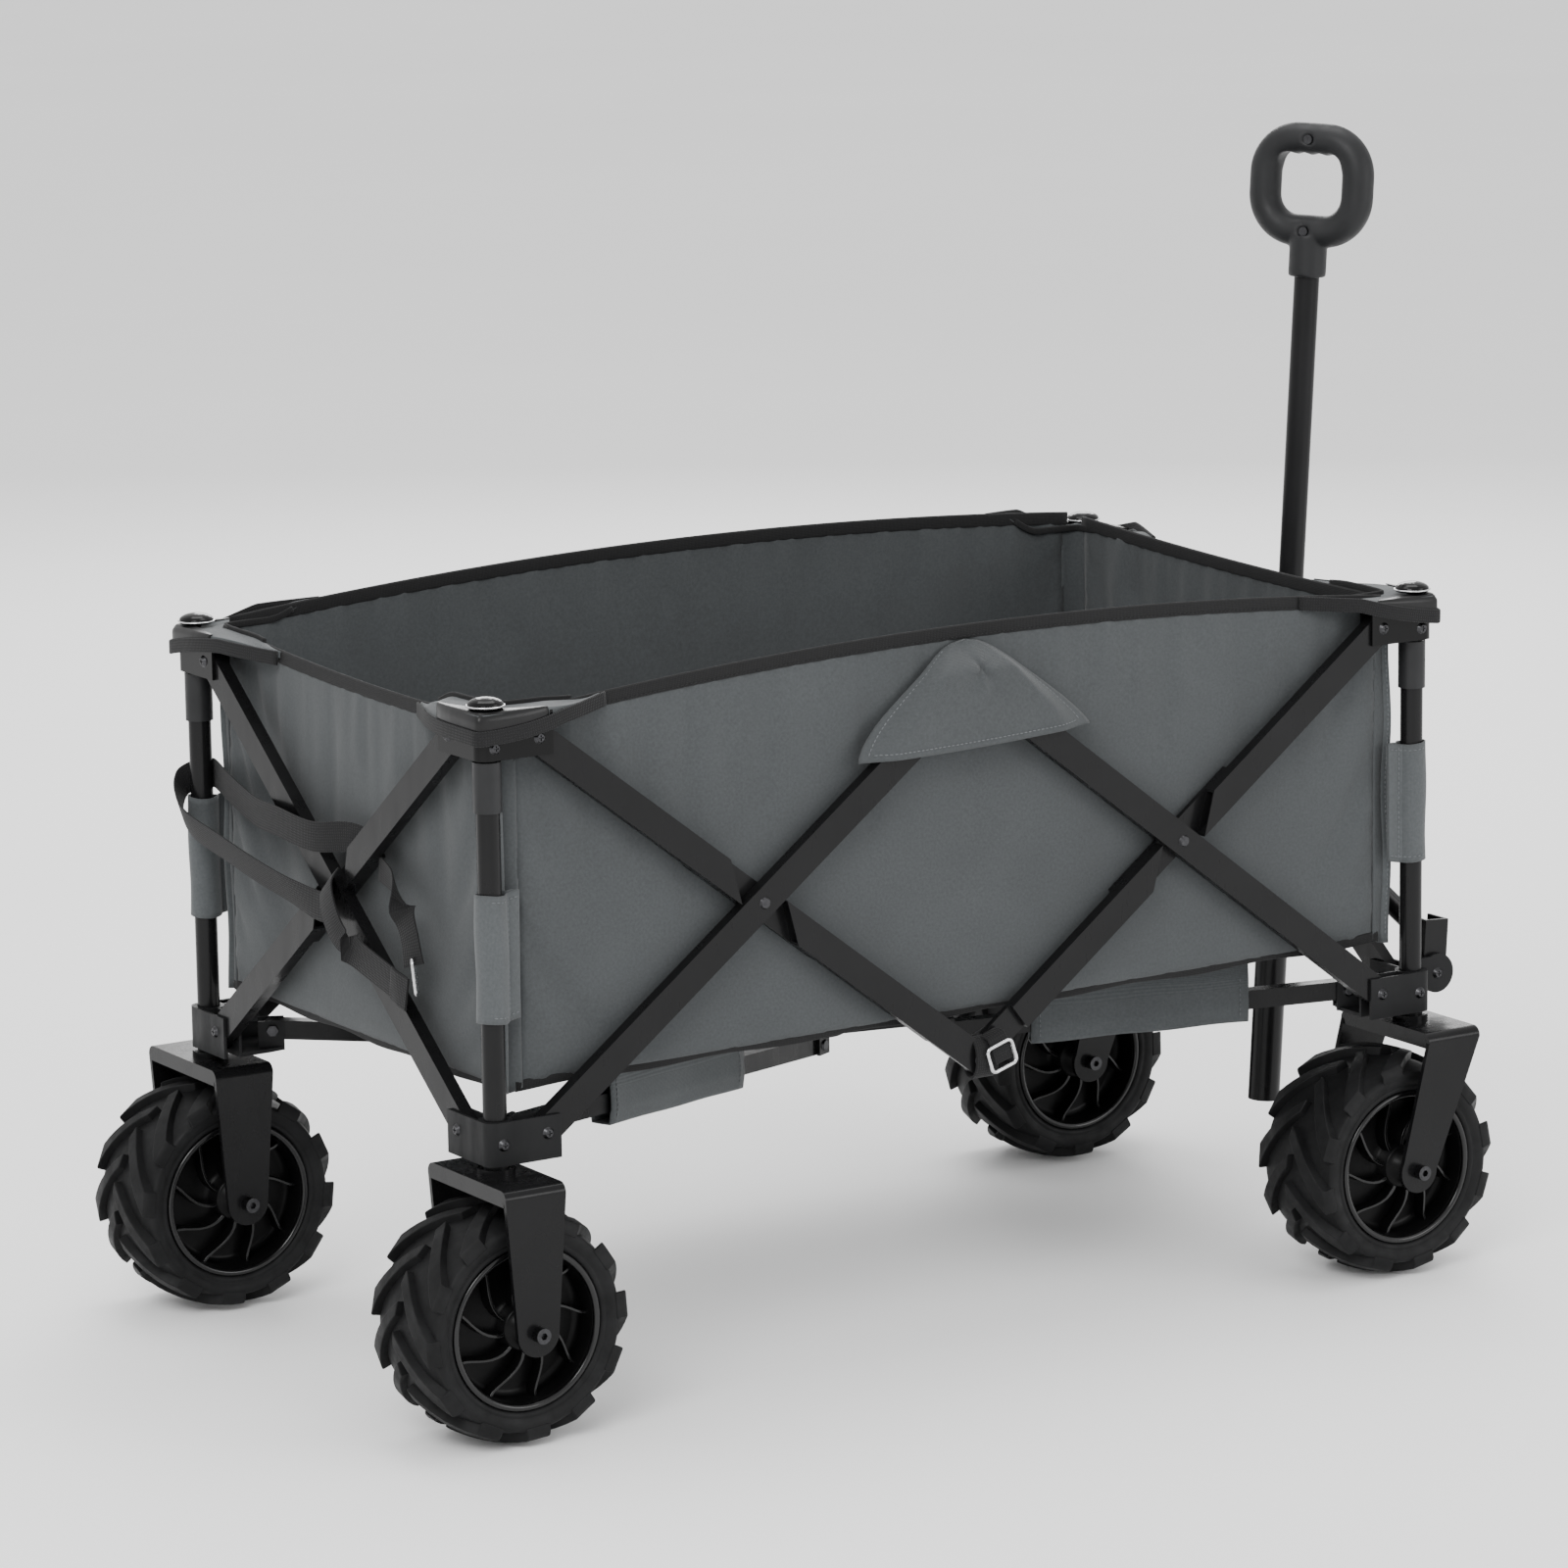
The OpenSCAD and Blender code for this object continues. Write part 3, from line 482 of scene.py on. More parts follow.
def lug(side, start):
    """One curved bar from the middle of the tread to the shoulder, and down the side wall."""
    points = []
    for k in range(LUG_STEPS):
        s = k / (LUG_STEPS - 1)
        y = mix(-0.0015, 0.0445, s)
        angle = start + LUG_SWEEP * s**1.15
        half = mix(0.0058, 0.0118, s**1.2)
        low, high = carcass_radius(y) - 0.002, lug_radius(y)
        for r, w in ((low, half + 0.0016), (high, half), (high, -half), (low, -half - 0.0016)):
            points.append(on_wheel(r, side * y, angle + w / WHEEL_R))
    for drop, w in ((0.0165, 0.013), (0.0095, 0.0112), (0.0095, -0.0112), (0.0165, -0.013)):
        points.append(on_wheel(WHEEL_R - drop, side * 0.0471, start + LUG_SWEEP + w / WHEEL_R))
    return points


def tyre_lugs(name):
    """All lugs of a tyre: the two sides' bars are half a pitch apart, like a tractor's."""
    points, faces = [], []
    pitch = math.tau / LUGS
    for side in (-1, 1):
        for i in range(LUGS):
            faces += skin(LUG_STEPS + 1, 4, len(points))
            points += lug(side, i * pitch + (pitch / 2 if side > 0 else 0))
    piece = mesh_piece(name, points, faces, [(p.x, p.z) for p in points])
    return soften(recalculate(piece), 0.0009)


# The rim: stepped hub, dished face, barrel and lip
RIM_HALF = [
    (0.0054, 0.0562), (0.011, 0.0562), (0.012, 0.055), (0.0124, 0.04), (0.017, 0.0392),
    (0.0182, 0.038), (0.019, 0.027), (0.024, 0.0245), (0.053, 0.0205), (0.058, 0.022),
    (0.0592, 0.026), (0.06, 0.04), (0.0612, 0.0426), (0.0652, 0.043), (0.066, 0.0418),
    (0.0638, 0.0405), (0.0636, 0.03),
]

# The bead round a rim's mouth, which gets the glossier rim plastic whose lighter colour is painted highlight
RIM_LIP = [
    (0.0606, 0.0412), (0.061, 0.0434), (0.0622, 0.0446), (0.064, 0.0449), (0.0656, 0.0443),
    (0.0664, 0.0428), (0.0646, 0.0412),
]


def rim_ribs(name, crest):
    """Thin S-curved ribs on both dished faces, from the hub to the barrel, or only their crests."""
    points, faces = [], []
    steps = 10
    for side, i in [(side, i) for side in (-1, 1) for i in range(RIBS)]:
        faces += skin(steps, 4, len(points))
        for k in range(steps):
            t = k / (steps - 1)
            r = mix(0.0165, 0.0598, t)
            angle = math.tau * i / RIBS + side * math.radians(30) * smoothstep(t)
            half = mix(0.0014, 0.0011, t)
            floor, top = mix(0.025, 0.019, t), mix(0.0365, 0.033, smoothstep(t))
            foot = half * 1.5
            if crest:
                floor, top, half = top - 0.0012, top + 0.0003, half * 1.1
                foot = half
            for y, w in ((floor, foot), (top, half), (top, -half), (floor, -foot)):
                points.append(on_wheel(r, side * y, angle + w / r))
    piece = mesh_piece(name, points, faces, [(p.x, p.z) for p in points])
    return soften(recalculate(piece), 0.0005)


def wheel(end, side):
    corner = f"{end}_{side}"
    centre = middle(f"tyre_{corner}")
    turn = Matrix.Translation(centre) @ Matrix.Rotation(0.35 * SIDES[side] + 0.2 * ENDS[end], 4, "Y")
    carcass = lathe_piece(f"tyre_carcass_{corner}", mirrored(TYRE_HALF), 120, False)
    tyre = [carcass, tyre_lugs(f"tyre_lugs_{corner}")]
    barrel = lathe_piece(f"rim_body_{corner}", mirrored(RIM_HALF), 96, True)
    rim = [barrel, rim_ribs(f"rim_ribs_{corner}", False)]
    # The rib crests and the lips get the rim plastic with painted highlight in its lighter colour
    edges = [rim_ribs(f"rim_rib_crests_{corner}", True)]
    for name, sign in (("left", 1), ("right", -1)):
        edges.append(lathe_piece(f"rim_lip_{name}_{corner}", [(r, sign * y) for r, y in RIM_LIP], 96, True))
    for pieces, material, slot, node in (
        (tyre, TYRE_RUBBER, "tyre", "tyre"),
        (rim, RIM_PLASTIC, "rim_plastic", "rim"),
        (edges, RIM_EDGE_HIGHLIGHT, "rim_plastic", "rim"),
    ):
        for piece in pieces:
            piece.data.transform(turn)
            dress(piece, material, slot, f"wheel_{corner}")
            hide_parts(f"{node}_{corner}")


# Cloth tub


def rim_top(side, x):
    """Height of a side's rim, arched in the middle and a little higher at the front."""
    share = x / HALF_L
    return RIM_Z[side] + 0.004 * share + RIM_RISE[side] * (1 - share * share)


def end_top(end, y):
    """Height of an end's rim, from the right corner to the left one, sagging between them."""
    t = (y / HALF_W + 1) / 2
    x = ENDS[end] * HALF_L
    sag = 0.007 if end == "rear" else 0.004
    return mix(rim_top("right", x) - 0.002, rim_top("left", x) - 0.002, t) - sag * (1 - (2 * t - 1) ** 2)


def bottom_edge(x):
    """Height of the tub's lower edge, a little higher at the front."""
    return FLOOR_Z + 0.004 + 0.004 * (x / HALF_L)


def crease(x, z, seed):
    """Soft irregular folds of the cloth, about a millimetre deep."""
    broad = noise.noise(Vector((x * 7, z * 9, seed)))
    fine = noise.noise(Vector((x * 21 + z * 16, z * 24 - x * 10, seed + 7)))
    return 0.0016 * broad + 0.0007 * fine


def pull(x, z, corner_x, corner_z, slope, seed):
    """Folds that fan out from a corner where the cloth is pulled."""
    dx, dz = abs(x - corner_x), corner_z - z
    reach = math.hypot(dx, dz)
    angle = math.atan2(dz, dx + 1e-6)
    fan = math.sin(angle * 11 + seed) * math.exp(-((angle - slope) ** 2) / 0.4)
    return 0.0028 * fan * smoothstep(reach / 0.05) * math.exp(-reach / 0.11)


def side_wall_point(side, u, v):
    x = mix(-HALF_L + CORNER_CUT, HALF_L - CORNER_CUT, u)
    z = mix(bottom_edge(x), rim_top(side, x), v)
    edge = smoothstep(min(u, 1 - u) * 12) * smoothstep(min(v, 1 - v) * 7)
    folds = crease(x, z, SIDES[side] * 3)
    folds += sum(pull(x, z, e * HALF_L, rim_top(side, x), 0.8, e + SIDES[side]) for e in (-1, 1))
    belly = -0.004 * math.sin(math.pi * v) * (0.4 + 0.6 * math.sin(math.pi * u))
    lean = -0.0016 * (1 - v)
    y = HALF_W + lean + (folds + belly) * edge
    return Vector((x, SIDES[side] * min(y, HALF_W + 0.0012), z))


def end_wall_point(end, u, v):
    y = mix(-HALF_W + CORNER_CUT * 0.8, HALF_W - CORNER_CUT * 0.8, u)
    z = mix(bottom_edge(ENDS[end] * HALF_L), end_top(end, y), v)
    edge = smoothstep(min(u, 1 - u) * 8) * smoothstep(min(v, 1 - v) * 7)
    folds = crease(y, z, ENDS[end] * 5 + 1)
    folds += sum(pull(y, z, s * HALF_W, end_top(end, y), 0.8, s * 2 + ENDS[end]) for s in (-1, 1))
    gather = -0.012 * math.exp(-((y - 0.14 - 0.05 * (v - 0.5)) ** 2) / 0.0011) * math.sin(math.pi * v)
    belly = -0.006 * math.sin(math.pi * v) * math.sin(math.pi * u)
    x = HALF_L - 0.001 + (folds + belly + gather) * edge
    return Vector((ENDS[end] * min(x, HALF_L + 0.001), y, z))


def flatten_lengthways(piece):
    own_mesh(piece)


def flatten_crossways(piece):
    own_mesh(piece)


def settle(piece, cols, rows):
    """Lets the cloth hang in its own weight between its sewn edges, then keeps that form."""
    row = cols + 1
    group = piece.vertex_groups.new(name="sewn_edges")
    edges = [k for k in range(row * (rows + 1)) if k % row in (0, cols) or k // row in (0, rows)]
    group.add(edges, 1.0, "REPLACE")
    cloth = piece.modifiers.new("cloth", "CLOTH")
    settings = {
        "vertex_group_mass": group.name, "quality": 5, "mass": 0.25, "tension_stiffness": 25,
        "compression_stiffness": 25, "shear_stiffness": 8, "bending_stiffness": 2.0, "shrink_min": -0.012,
    }
    for key, value in settings.items():
        setattr(cloth.settings, key, value)
    scene = bpy.context.scene
    for step in range(1, SETTLE_FRAMES + 1):
        scene.frame_set(step)
    hung = piece.evaluated_get(bpy.context.evaluated_depsgraph_get())
    places = [v.co.copy() for v in hung.data.vertices]
    piece.modifiers.remove(cloth)
    for vertex, place in zip(piece.data.vertices, places):
        move = place - vertex.co
        vertex.co += move * min(1, MOST_HANG / max(move.length, 1e-9))
    scene.frame_set(1)


def wall(name, surface, cols, size, axis, limit, body):
    """A wall of the tub, settled between its sewn edges and kept clear of the arms outside it."""
    rows = 34
    piece = grid_piece(name, cols, rows, surface, *size)
    settle(piece, cols, rows)
    for vertex in piece.data.vertices:
        vertex.co[axis] = max(-limit, min(limit, vertex.co[axis]))
    return sew(piece, body)


def side_wall(side):
    surface = functools.partial(side_wall_point, side)
    size, limit = (2 * HALF_L, 0.31), HALF_W + WALL_OUT
    piece = wall(f"side_wall_{side}", surface, 110, size, 1, limit, f"upper_rear_{side}")
    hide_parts("fabric_bag")
    flatten_lengthways(piece)


def end_wall(end):
    surface = functools.partial(end_wall_point, end)
    size, limit = (2 * HALF_W, 0.3), HALF_L + WALL_OUT
    piece = wall(f"end_wall_{end}", surface, 64, size, 0, limit, f"upper_{end}_right")
    flatten_crossways(piece)


def bindings(name, top, low, body, flatten):
    """Black tape folded over a wall's rim, and another along its lower edge."""
    for place, path, height in (("rim", top, BINDING_H), ("hem", low, 0.009)):
        piece = sweep_piece(f"{place}_binding_{name}", path, UP, rounded_section(height, 0.0034))
        flatten(dress(piece, BINDING, "webbing", body))


def side_binding(side):
    sign = SIDES[side]
    outward = Vector((0, sign, 0))
    xs = [mix(-HALF_L + 0.012, HALF_L - 0.012, i / 90) for i in range(91)]
    top = [Vector((x, sign * (HALF_W + 0.0004), rim_top(side, x) - 0.003)) for x in xs]
    hems = [bottom_edge(x) + 0.002 + 0.0012 * math.sin(x * 47) for x in xs]
    low = [Vector((x, sign * (HALF_W - 0.0012), z)) for x, z in zip(xs, hems)]
    bindings(side, top, low, f"upper_rear_{side}", flatten_lengthways)
    line = [p + outward * 0.0017 - UP * 0.0035 for p in top]
    flatten_lengthways(stitches(f"rim_seam_{side}", line, outward, f"upper_rear_{side}", BINDING, "webbing"))


def end_binding(end):
    ys = [mix(-HALF_W + 0.01, HALF_W - 0.01, i / 50) for i in range(51)]
    x = ENDS[end] * (HALF_L - 0.001)
    top = [Vector((x, y, end_top(end, y) - 0.003)) for y in ys]
    low = [Vector((x, y, bottom_edge(x) + 0.002 + 0.0012 * math.sin(y * 53))) for y in ys]
    bindings(end, top, low, f"upper_{end}_right", flatten_crossways)


def at_corner(end, side, a, b, z):
    """A place by its distance inwards from a post: a along the wagon, b across it."""
    return Vector((ENDS[end] * (POST.x - a), SIDES[side] * (POST.y - b), z))


def corner_edge(end, side):
    """The tub's rounded upright corner, with the seam allowance that stands out of it."""
    wall_a, wall_b = POST.x - HALF_L, POST.y - HALF_W

    def point(u, v):
        start = Vector((wall_a + CORNER_CUT + 0.002, wall_b))
        finish = Vector((wall_a, wall_b + CORNER_CUT * 0.8 + 0.002))
        control = Vector((wall_a + 0.001, wall_b + 0.001))
        flat = (1 - u) ** 2 * start + 2 * u * (1 - u) * control + u * u * finish
        x = ENDS[end] * HALF_L
        top = mix(rim_top(side, x) - 0.004, end_top(end, SIDES[side] * HALF_W), u) - 0.004
        z = mix(bottom_edge(x) - 0.004 * math.sin(math.pi * u), top, v)
        ripple = 0.0008 * math.sin(v * 15 + ENDS[end]) * math.sin(math.pi * u)
        return at_corner(end, side, flat.x + ripple, flat.y + ripple, z)

    body = f"upper_{end}_{side}"
    piece = grid_piece(f"corner_{end}_{side}", 12, 30, point, 0.03, 0.3)
    sew(piece, body)

    def fin(u, v):
        base = point(0.42, v)
        out = Vector((ENDS[end], SIDES[side] * 0.35, 0)).normalized()
        wave = Vector((0, SIDES[side], 0)) * 0.0011 * math.sin(v * 8 + u * 2)
        return base + out * (0.0075 * u * (0.9 + 0.1 * math.sin(v * 5))) + wave * u

    fold = grid_piece(f"corner_seam_{end}_{side}", 4, 40, fin, 0.008, 0.3)
    dress(thicken(fold, 2 * CLOTH_T), CLOTH_EDGE, "fabric", body)
    outward = Vector((0, SIDES[side], 0))
    line = [fin(0.55, j / 40) + outward * 0.0013 for j in range(1, 40)]
    stitches(f"corner_stitching_{end}_{side}", line, outward, body)


def floor_quarter(end, side):
    """A quarter of the tub's floor, which follows the diagonal bar under it as the wagon folds."""
    bar = f"floor_bar_{end}_{side}"

    def point(u, v):
        x = ENDS[end] * mix(0.0, HALF_L - 0.002, u)
        y = SIDES[side] * mix(0.0, HALF_W - 0.003, v)
        sag = 0.003 * math.sin(math.pi * u) * math.sin(math.pi * v)
        z = bottom_edge(x) + 0.0015 - sag + 0.6 * crease(x, y, 11) * smoothstep(min(1 - u, 1 - v) * 8)
        return Vector((x, y, z))

    piece = recalculate(grid_piece(f"floor_{end}_{side}", 34, 22, point, HALF_L, HALF_W))
    sew(piece, bar, 0.0016)
    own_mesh(piece)


def joint_pocket(side):
    """The stitched grey pocket that covers the upper middle joint of a side."""
    sign = SIDES[side]
    wall_y = HALF_W + WALL_OUT
    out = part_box(f"rising_arm_rear_{side}")[1 if sign > 0 else 0].y * sign + 0.0035
    depth = out - wall_y
    low, high, wide = 0.505, 0.588, 0.113

    def outline(v):
        """Half width at height v: slightly convex sides that round over into the apex."""
        return wide * (1 - v**1.35) ** (0.95 - 0.35 * v**4)

    def point(u, v):
        across = 2 * u - 1
        x = across * outline(v)
        hang = 0.002 * math.cos(across * 1.5) * (1 - v) ** 3
        z = mix(low, high, v) - hang + 0.004 * across * (1 - v)
        flush = smoothstep((1 - abs(across)) / 0.3)
        rise = mix(1.0, 0.08, smoothstep((v - 0.7) / 0.3)) * mix(0.25 + 0.4 * (1 - v) ** 4, 1.0, flush)
        dimple = math.hypot(x - 0.004, z - 0.566)
        around = math.atan2(z - 0.566, x - 0.004)
        pinch = -0.003 * math.exp(-(dimple**2) / 0.00003)
        rays = 0.0015 * math.cos(4 * around + 0.6) * math.exp(-(dimple**2) / 0.0005)
        y = wall_y + depth * rise + (pinch + rays) * smoothstep(dimple / 0.002 + 0.3) + crease(x, z, 31)
        return Vector((x, sign * y, z))

    piece = grid_piece(f"joint_pocket_{side}", 56, 36, point, 2 * wide, high - low)
    flatten_lengthways(sew(piece, f"upper_rear_{side}", 0.0012))
    lift = Vector((0, sign * 0.0008, 0))
    edge = [point(0.035, j / 40) + lift for j in range(2, 38)]
    edge += [point(0.965, j / 40) + lift for j in range(37, 1, -1)]
    hem = [point(i / 40, 0.06) + lift for i in range(2, 39)]
    for name, path in (("edge", edge), ("hem", hem)):
        row = stitches(f"pocket_{name}_stitching_{side}", path, (0, sign, 0), f"upper_rear_{side}")
        flatten_lengthways(row)


# Corners


def round_off(points, times=3):
    """Cuts a path's corners again and again until they are round."""
    points = [Vector(p) for p in points]
    for _ in range(times):
        cut = [points[0]]
        for a, b in zip(points, points[1:]):
            cut += [a.lerp(b, 0.25), a.lerp(b, 0.75)]
        points = [*cut, points[-1]]
    return points


def path_place(path, share):
    """The place at a share of a path's length."""
    lengths = [(b - a).length for a, b in zip(path, path[1:])]
    left = share * sum(lengths)
    for a, b, length in zip(path, path[1:], lengths):
        if left <= length:
            return a.lerp(b, left / max(length, 1e-9))
        left -= length
    return path[-1].copy()


def corner_path(offset):
    """The hood's outer edge in plan: out from the side's rim, round the bracket and back to the end's."""
    face = -0.0156 - offset
    return round_off(
        [(0.112, 0.0114 - offset), (0.054, face), (face + 0.004, face), (face, face + 0.004), (face, 0.054),
         (0.0124 - offset, 0.124)]
    )


def hood_heights(end, side, path, u):
    """Height of the hood's outer edge, a V with its foot at the corner, and of its top over the bracket."""
    a, b = path_place(path, u)
    plate_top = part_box(f"inner_post_{end}_{side}")[1].z + 0.001
    if u < 0.5:
        rim = rim_top(side, ENDS[end] * (POST.x - a)) - 0.003
    else:
        rim = end_top(end, SIDES[side] * (POST.y - b)) - 0.003
    foot = max(0, 1 - abs(u - 0.48) / 0.29)
    hold = smoothstep((min(u, 1 - u) - 0.05) / 0.22)
    return mix(rim, plate_top - 0.016, foot), mix(rim + 0.0045, plate_top + 0.0016, hold)


def gather_hood(piece):
    """Gives the piece its own copy of its mesh."""
    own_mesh(piece)


def hood(end, side):
    """Grey cloth corner that hooks over a bracket under its domed cap, edged with webbing."""
    outer_path = corner_path(0.0)
    inner_path = round_off([(0.112, 0.0125), (0.022, 0.0135), (0.014, 0.022), (0.0135, 0.124)])

    def point(u, v):
        climb = min(1, v / 0.35)
        over = max(0, (v - 0.35) / 0.65)
        a, b = path_place(outer_path, u).lerp(path_place(inner_path, u), over)
        low, high = hood_heights(end, side, outer_path, u)
        z = mix(low, high, climb) + 0.0009 * math.sin(u * 19 + v * 4) * math.sin(math.pi * over)
        return at_corner(end, side, a, b, z)

    body = f"upper_{end}_{side}"
    piece = recalculate(grid_piece(f"hood_{end}_{side}", 56, 20, point, 0.24, 0.045))
    sew(piece, body, 0.001, CLOTH_EDGE)
    gather_hood(piece)
    tape_path = corner_path(0.003)
    front = []
    for i in range(71):
        a, b = path_place(tape_path, i / 70)
        front.append(at_corner(end, side, a, b, hood_heights(end, side, tape_path, i / 70)[0]))
    back = [point(mix(0.14, 0.86, i / 50), 1.0) + UP * 0.001 for i in range(51)]
    for name, path, height, material in (("tape", front, BINDING_H, WEBBING), ("edge", back, 0.006, BINDING)):
        strip = sweep_piece(f"hood_{name}_{end}_{side}", path, UP, rounded_section(height, 0.0026))
        gather_hood(dress(strip, material, "webbing", body))


def corner_cover(end, side):
    """Satin black cover pressed over the hood, which slopes from the webbing up to the domed cap."""
    outer_path = corner_path(0.0014)
    inner_path = round_off([(0.044, -0.012), (-0.001, -0.005), (-0.005, -0.001), (-0.012, 0.052)])

    def point(u, v):
        along = mix(0.25, 0.72, u)
        climb = min(1, v / 0.45)
        over = max(0, (v - 0.3) / 0.7)
        a, b = path_place(outer_path, along).lerp(path_place(inner_path, u), over)
        low, high = hood_heights(end, side, outer_path, along)
        z = mix(low + 0.002, high + 0.0014, climb**0.8) + 0.0014 * over * math.sin(math.pi * u) ** 2
        return at_corner(end, side, a, b, z)

    piece = recalculate(grid_piece(f"corner_cover_{end}_{side}", 60, 16, point, 0.13, 0.03))
    dress(thicken(piece, 0.0009), COVER_PLASTIC, "rim_plastic", f"upper_{end}_{side}")


def post_sleeve(end, side):
    """Cloth sleeve round a post, closed by a row of stitches with a flap beyond it."""
    low, high = (0.334, 0.436) if end == "rear" else (0.352, 0.454)
    radius = POST_R + 0.0024
    flap, seam = 0.025, 0.0142

    def plan(u):
        """Back layer of the flap, once round the post, and the flap's front layer."""
        if u < 0.2:
            return Vector((flap, 0.001)).lerp(Vector((seam, 0.0012)), u / 0.2)
        if u > 0.8:
            return Vector((seam, -0.0012)).lerp(Vector((flap, -0.001)), (u - 0.8) / 0.2)
        angle = math.radians(mix(24, 336, (u - 0.2) / 0.6))
        slack = 1 + 0.1 * smoothstep((abs(math.cos(angle / 2)) - 0.8) / 0.2)
        return Vector((radius * math.cos(angle) * slack, radius * math.sin(angle)))

    def point(u, v):
        a, b = plan(u)
        swell = 1 + 0.04 * math.sin(v * 8 + u * 5) if 0.2 <= u <= 0.8 else 1
        lean = 0.0012 * (v - 0.5) * smoothstep((a - 0.012) / 0.012)
        z = mix(low, high, v) + 0.0008 * math.sin(u * 14)
        return at_corner(end, side, a * swell + lean, b * swell, z)

    body = f"upper_{end}_{side}"
    piece = grid_piece(f"post_sleeve_{end}_{side}", 70, 20, point, 0.1, high - low)
    sew(piece, body, CLOTH_T, CLOTH_EDGE)
    out = Vector((0, SIDES[side], 0))
    rows = {
        "seam": [(0.81, v / 30) for v in range(1, 30)],
        "top": [(mix(0.62, 0.99, u / 12), 0.95) for u in range(13)],
        "foot": [(mix(0.62, 0.99, u / 12), 0.05) for u in range(13)],
    }
    for place, spots in rows.items():
        line = [point(u, v) + out * 0.0009 for u, v in spots]
        stitches(f"sleeve_{place}_stitching_{end}_{side}", line, out, body)


def bar_sleeve(end, side):
    """Cloth sleeve under the floor that holds a diagonal bar."""
    body = f"floor_bar_{end}_{side}"
    start, finish = (0.13, 0.335) if end == "rear" else (0.185, 0.372)
    along = Vector((ENDS[end] * 2, SIDES[side], 0)).normalized()
    across = Vector((-along.y, along.x, 0))
    pivot_reach = math.hypot(0.41, 0.205)

    def plan(u):
        """Across and up: down one side of the bar, round its lower face and up again."""
        flank = [(0.0035, 0.036), (0.0095, 0.016), (0.0105, -0.004), (0.0085, -0.0175)]
        corners = [(-a, b) for a, b in flank] + flank[::-1]
        place = u * (len(corners) - 1)
        k = min(int(place), len(corners) - 2)
        return Vector(corners[k]).lerp(Vector(corners[k + 1]), place - k)

    def point(u, v):
        distance = mix(start, finish, v)
        bar_z = 0.238 - (pivot_reach - distance) * math.tan(math.radians(3.9))
        a, b = plan(u)
        top = (FLOOR_Z + 0.002 - bar_z) / 0.036
        ripple = 0.0004 * math.sin(v * 13 + u * 7)
        z = bar_z + (b * top if b > 0.016 else b) + ripple
        return along * distance + across * (a + ripple) + Vector((0, 0, z))

    piece = grid_piece(f"bar_sleeve_{end}_{side}", 42, 22, point, 0.12, finish - start)
    sew(piece, body, 0.0012, CLOTH_EDGE)
    outer = across if across.y * SIDES[side] > 0 else -across
    share = 0.87 if (across.y * SIDES[side]) > 0 else 0.13
    for name, v in (("inner", 0.04), ("outer", 0.96)):
        line = [point(mix(0.5, share, j / 12), v) + outer * 0.0012 for j in range(4, 13)]
        stitches(f"bar_sleeve_{name}_stitching_{end}_{side}", line, outer, body)


# Straps


def tape(name, points, across, held, rests_on, body, width=0.025):
    """A length of webbing along a smooth path. across is its width's direction, or one for each point."""
    steps = 10
    path = spline(points, steps)
    if isinstance(across, list):
        sides = [v.normalized() for v in spline(across, steps)]
    else:
        sides = [Vector(across)] * len(path)
    piece = sweep_piece(name, path, sides, rounded_section(width, WEBBING_T))
    length = sum((b - a).length for a, b in zip(path, path[1:]))
    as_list(rests_on)
    return dress(piece, WEBBING, "webbing", body)


def wire_ring(name, centre, along, across, half_l, half_w, body):
    """A closed rectangular ring of steel wire with round corners."""
    wire, bend = 0.0016, 0.004
    along, across = Vector(along), Vector(across)
    path = []
    for cx, cy, start in ((1, 1, 0), (-1, 1, 90), (-1, -1, 180), (1, -1, 270)):
        for k in range(6):
            angle = math.radians(start + 18 * k)
            x = cx * (half_l - bend) + bend * math.cos(angle)
            y = cy * (half_w - bend) + bend * math.sin(angle)
            path.append(Vector(centre) + along * x + across * y)
    normal = along.cross(across).normalized()
    ring = sweep_piece(name, path, normal, oval_section(wire, wire, 12), closed=True)
    return dress(ring, BRIGHT_STEEL, "bolt_steel", body)


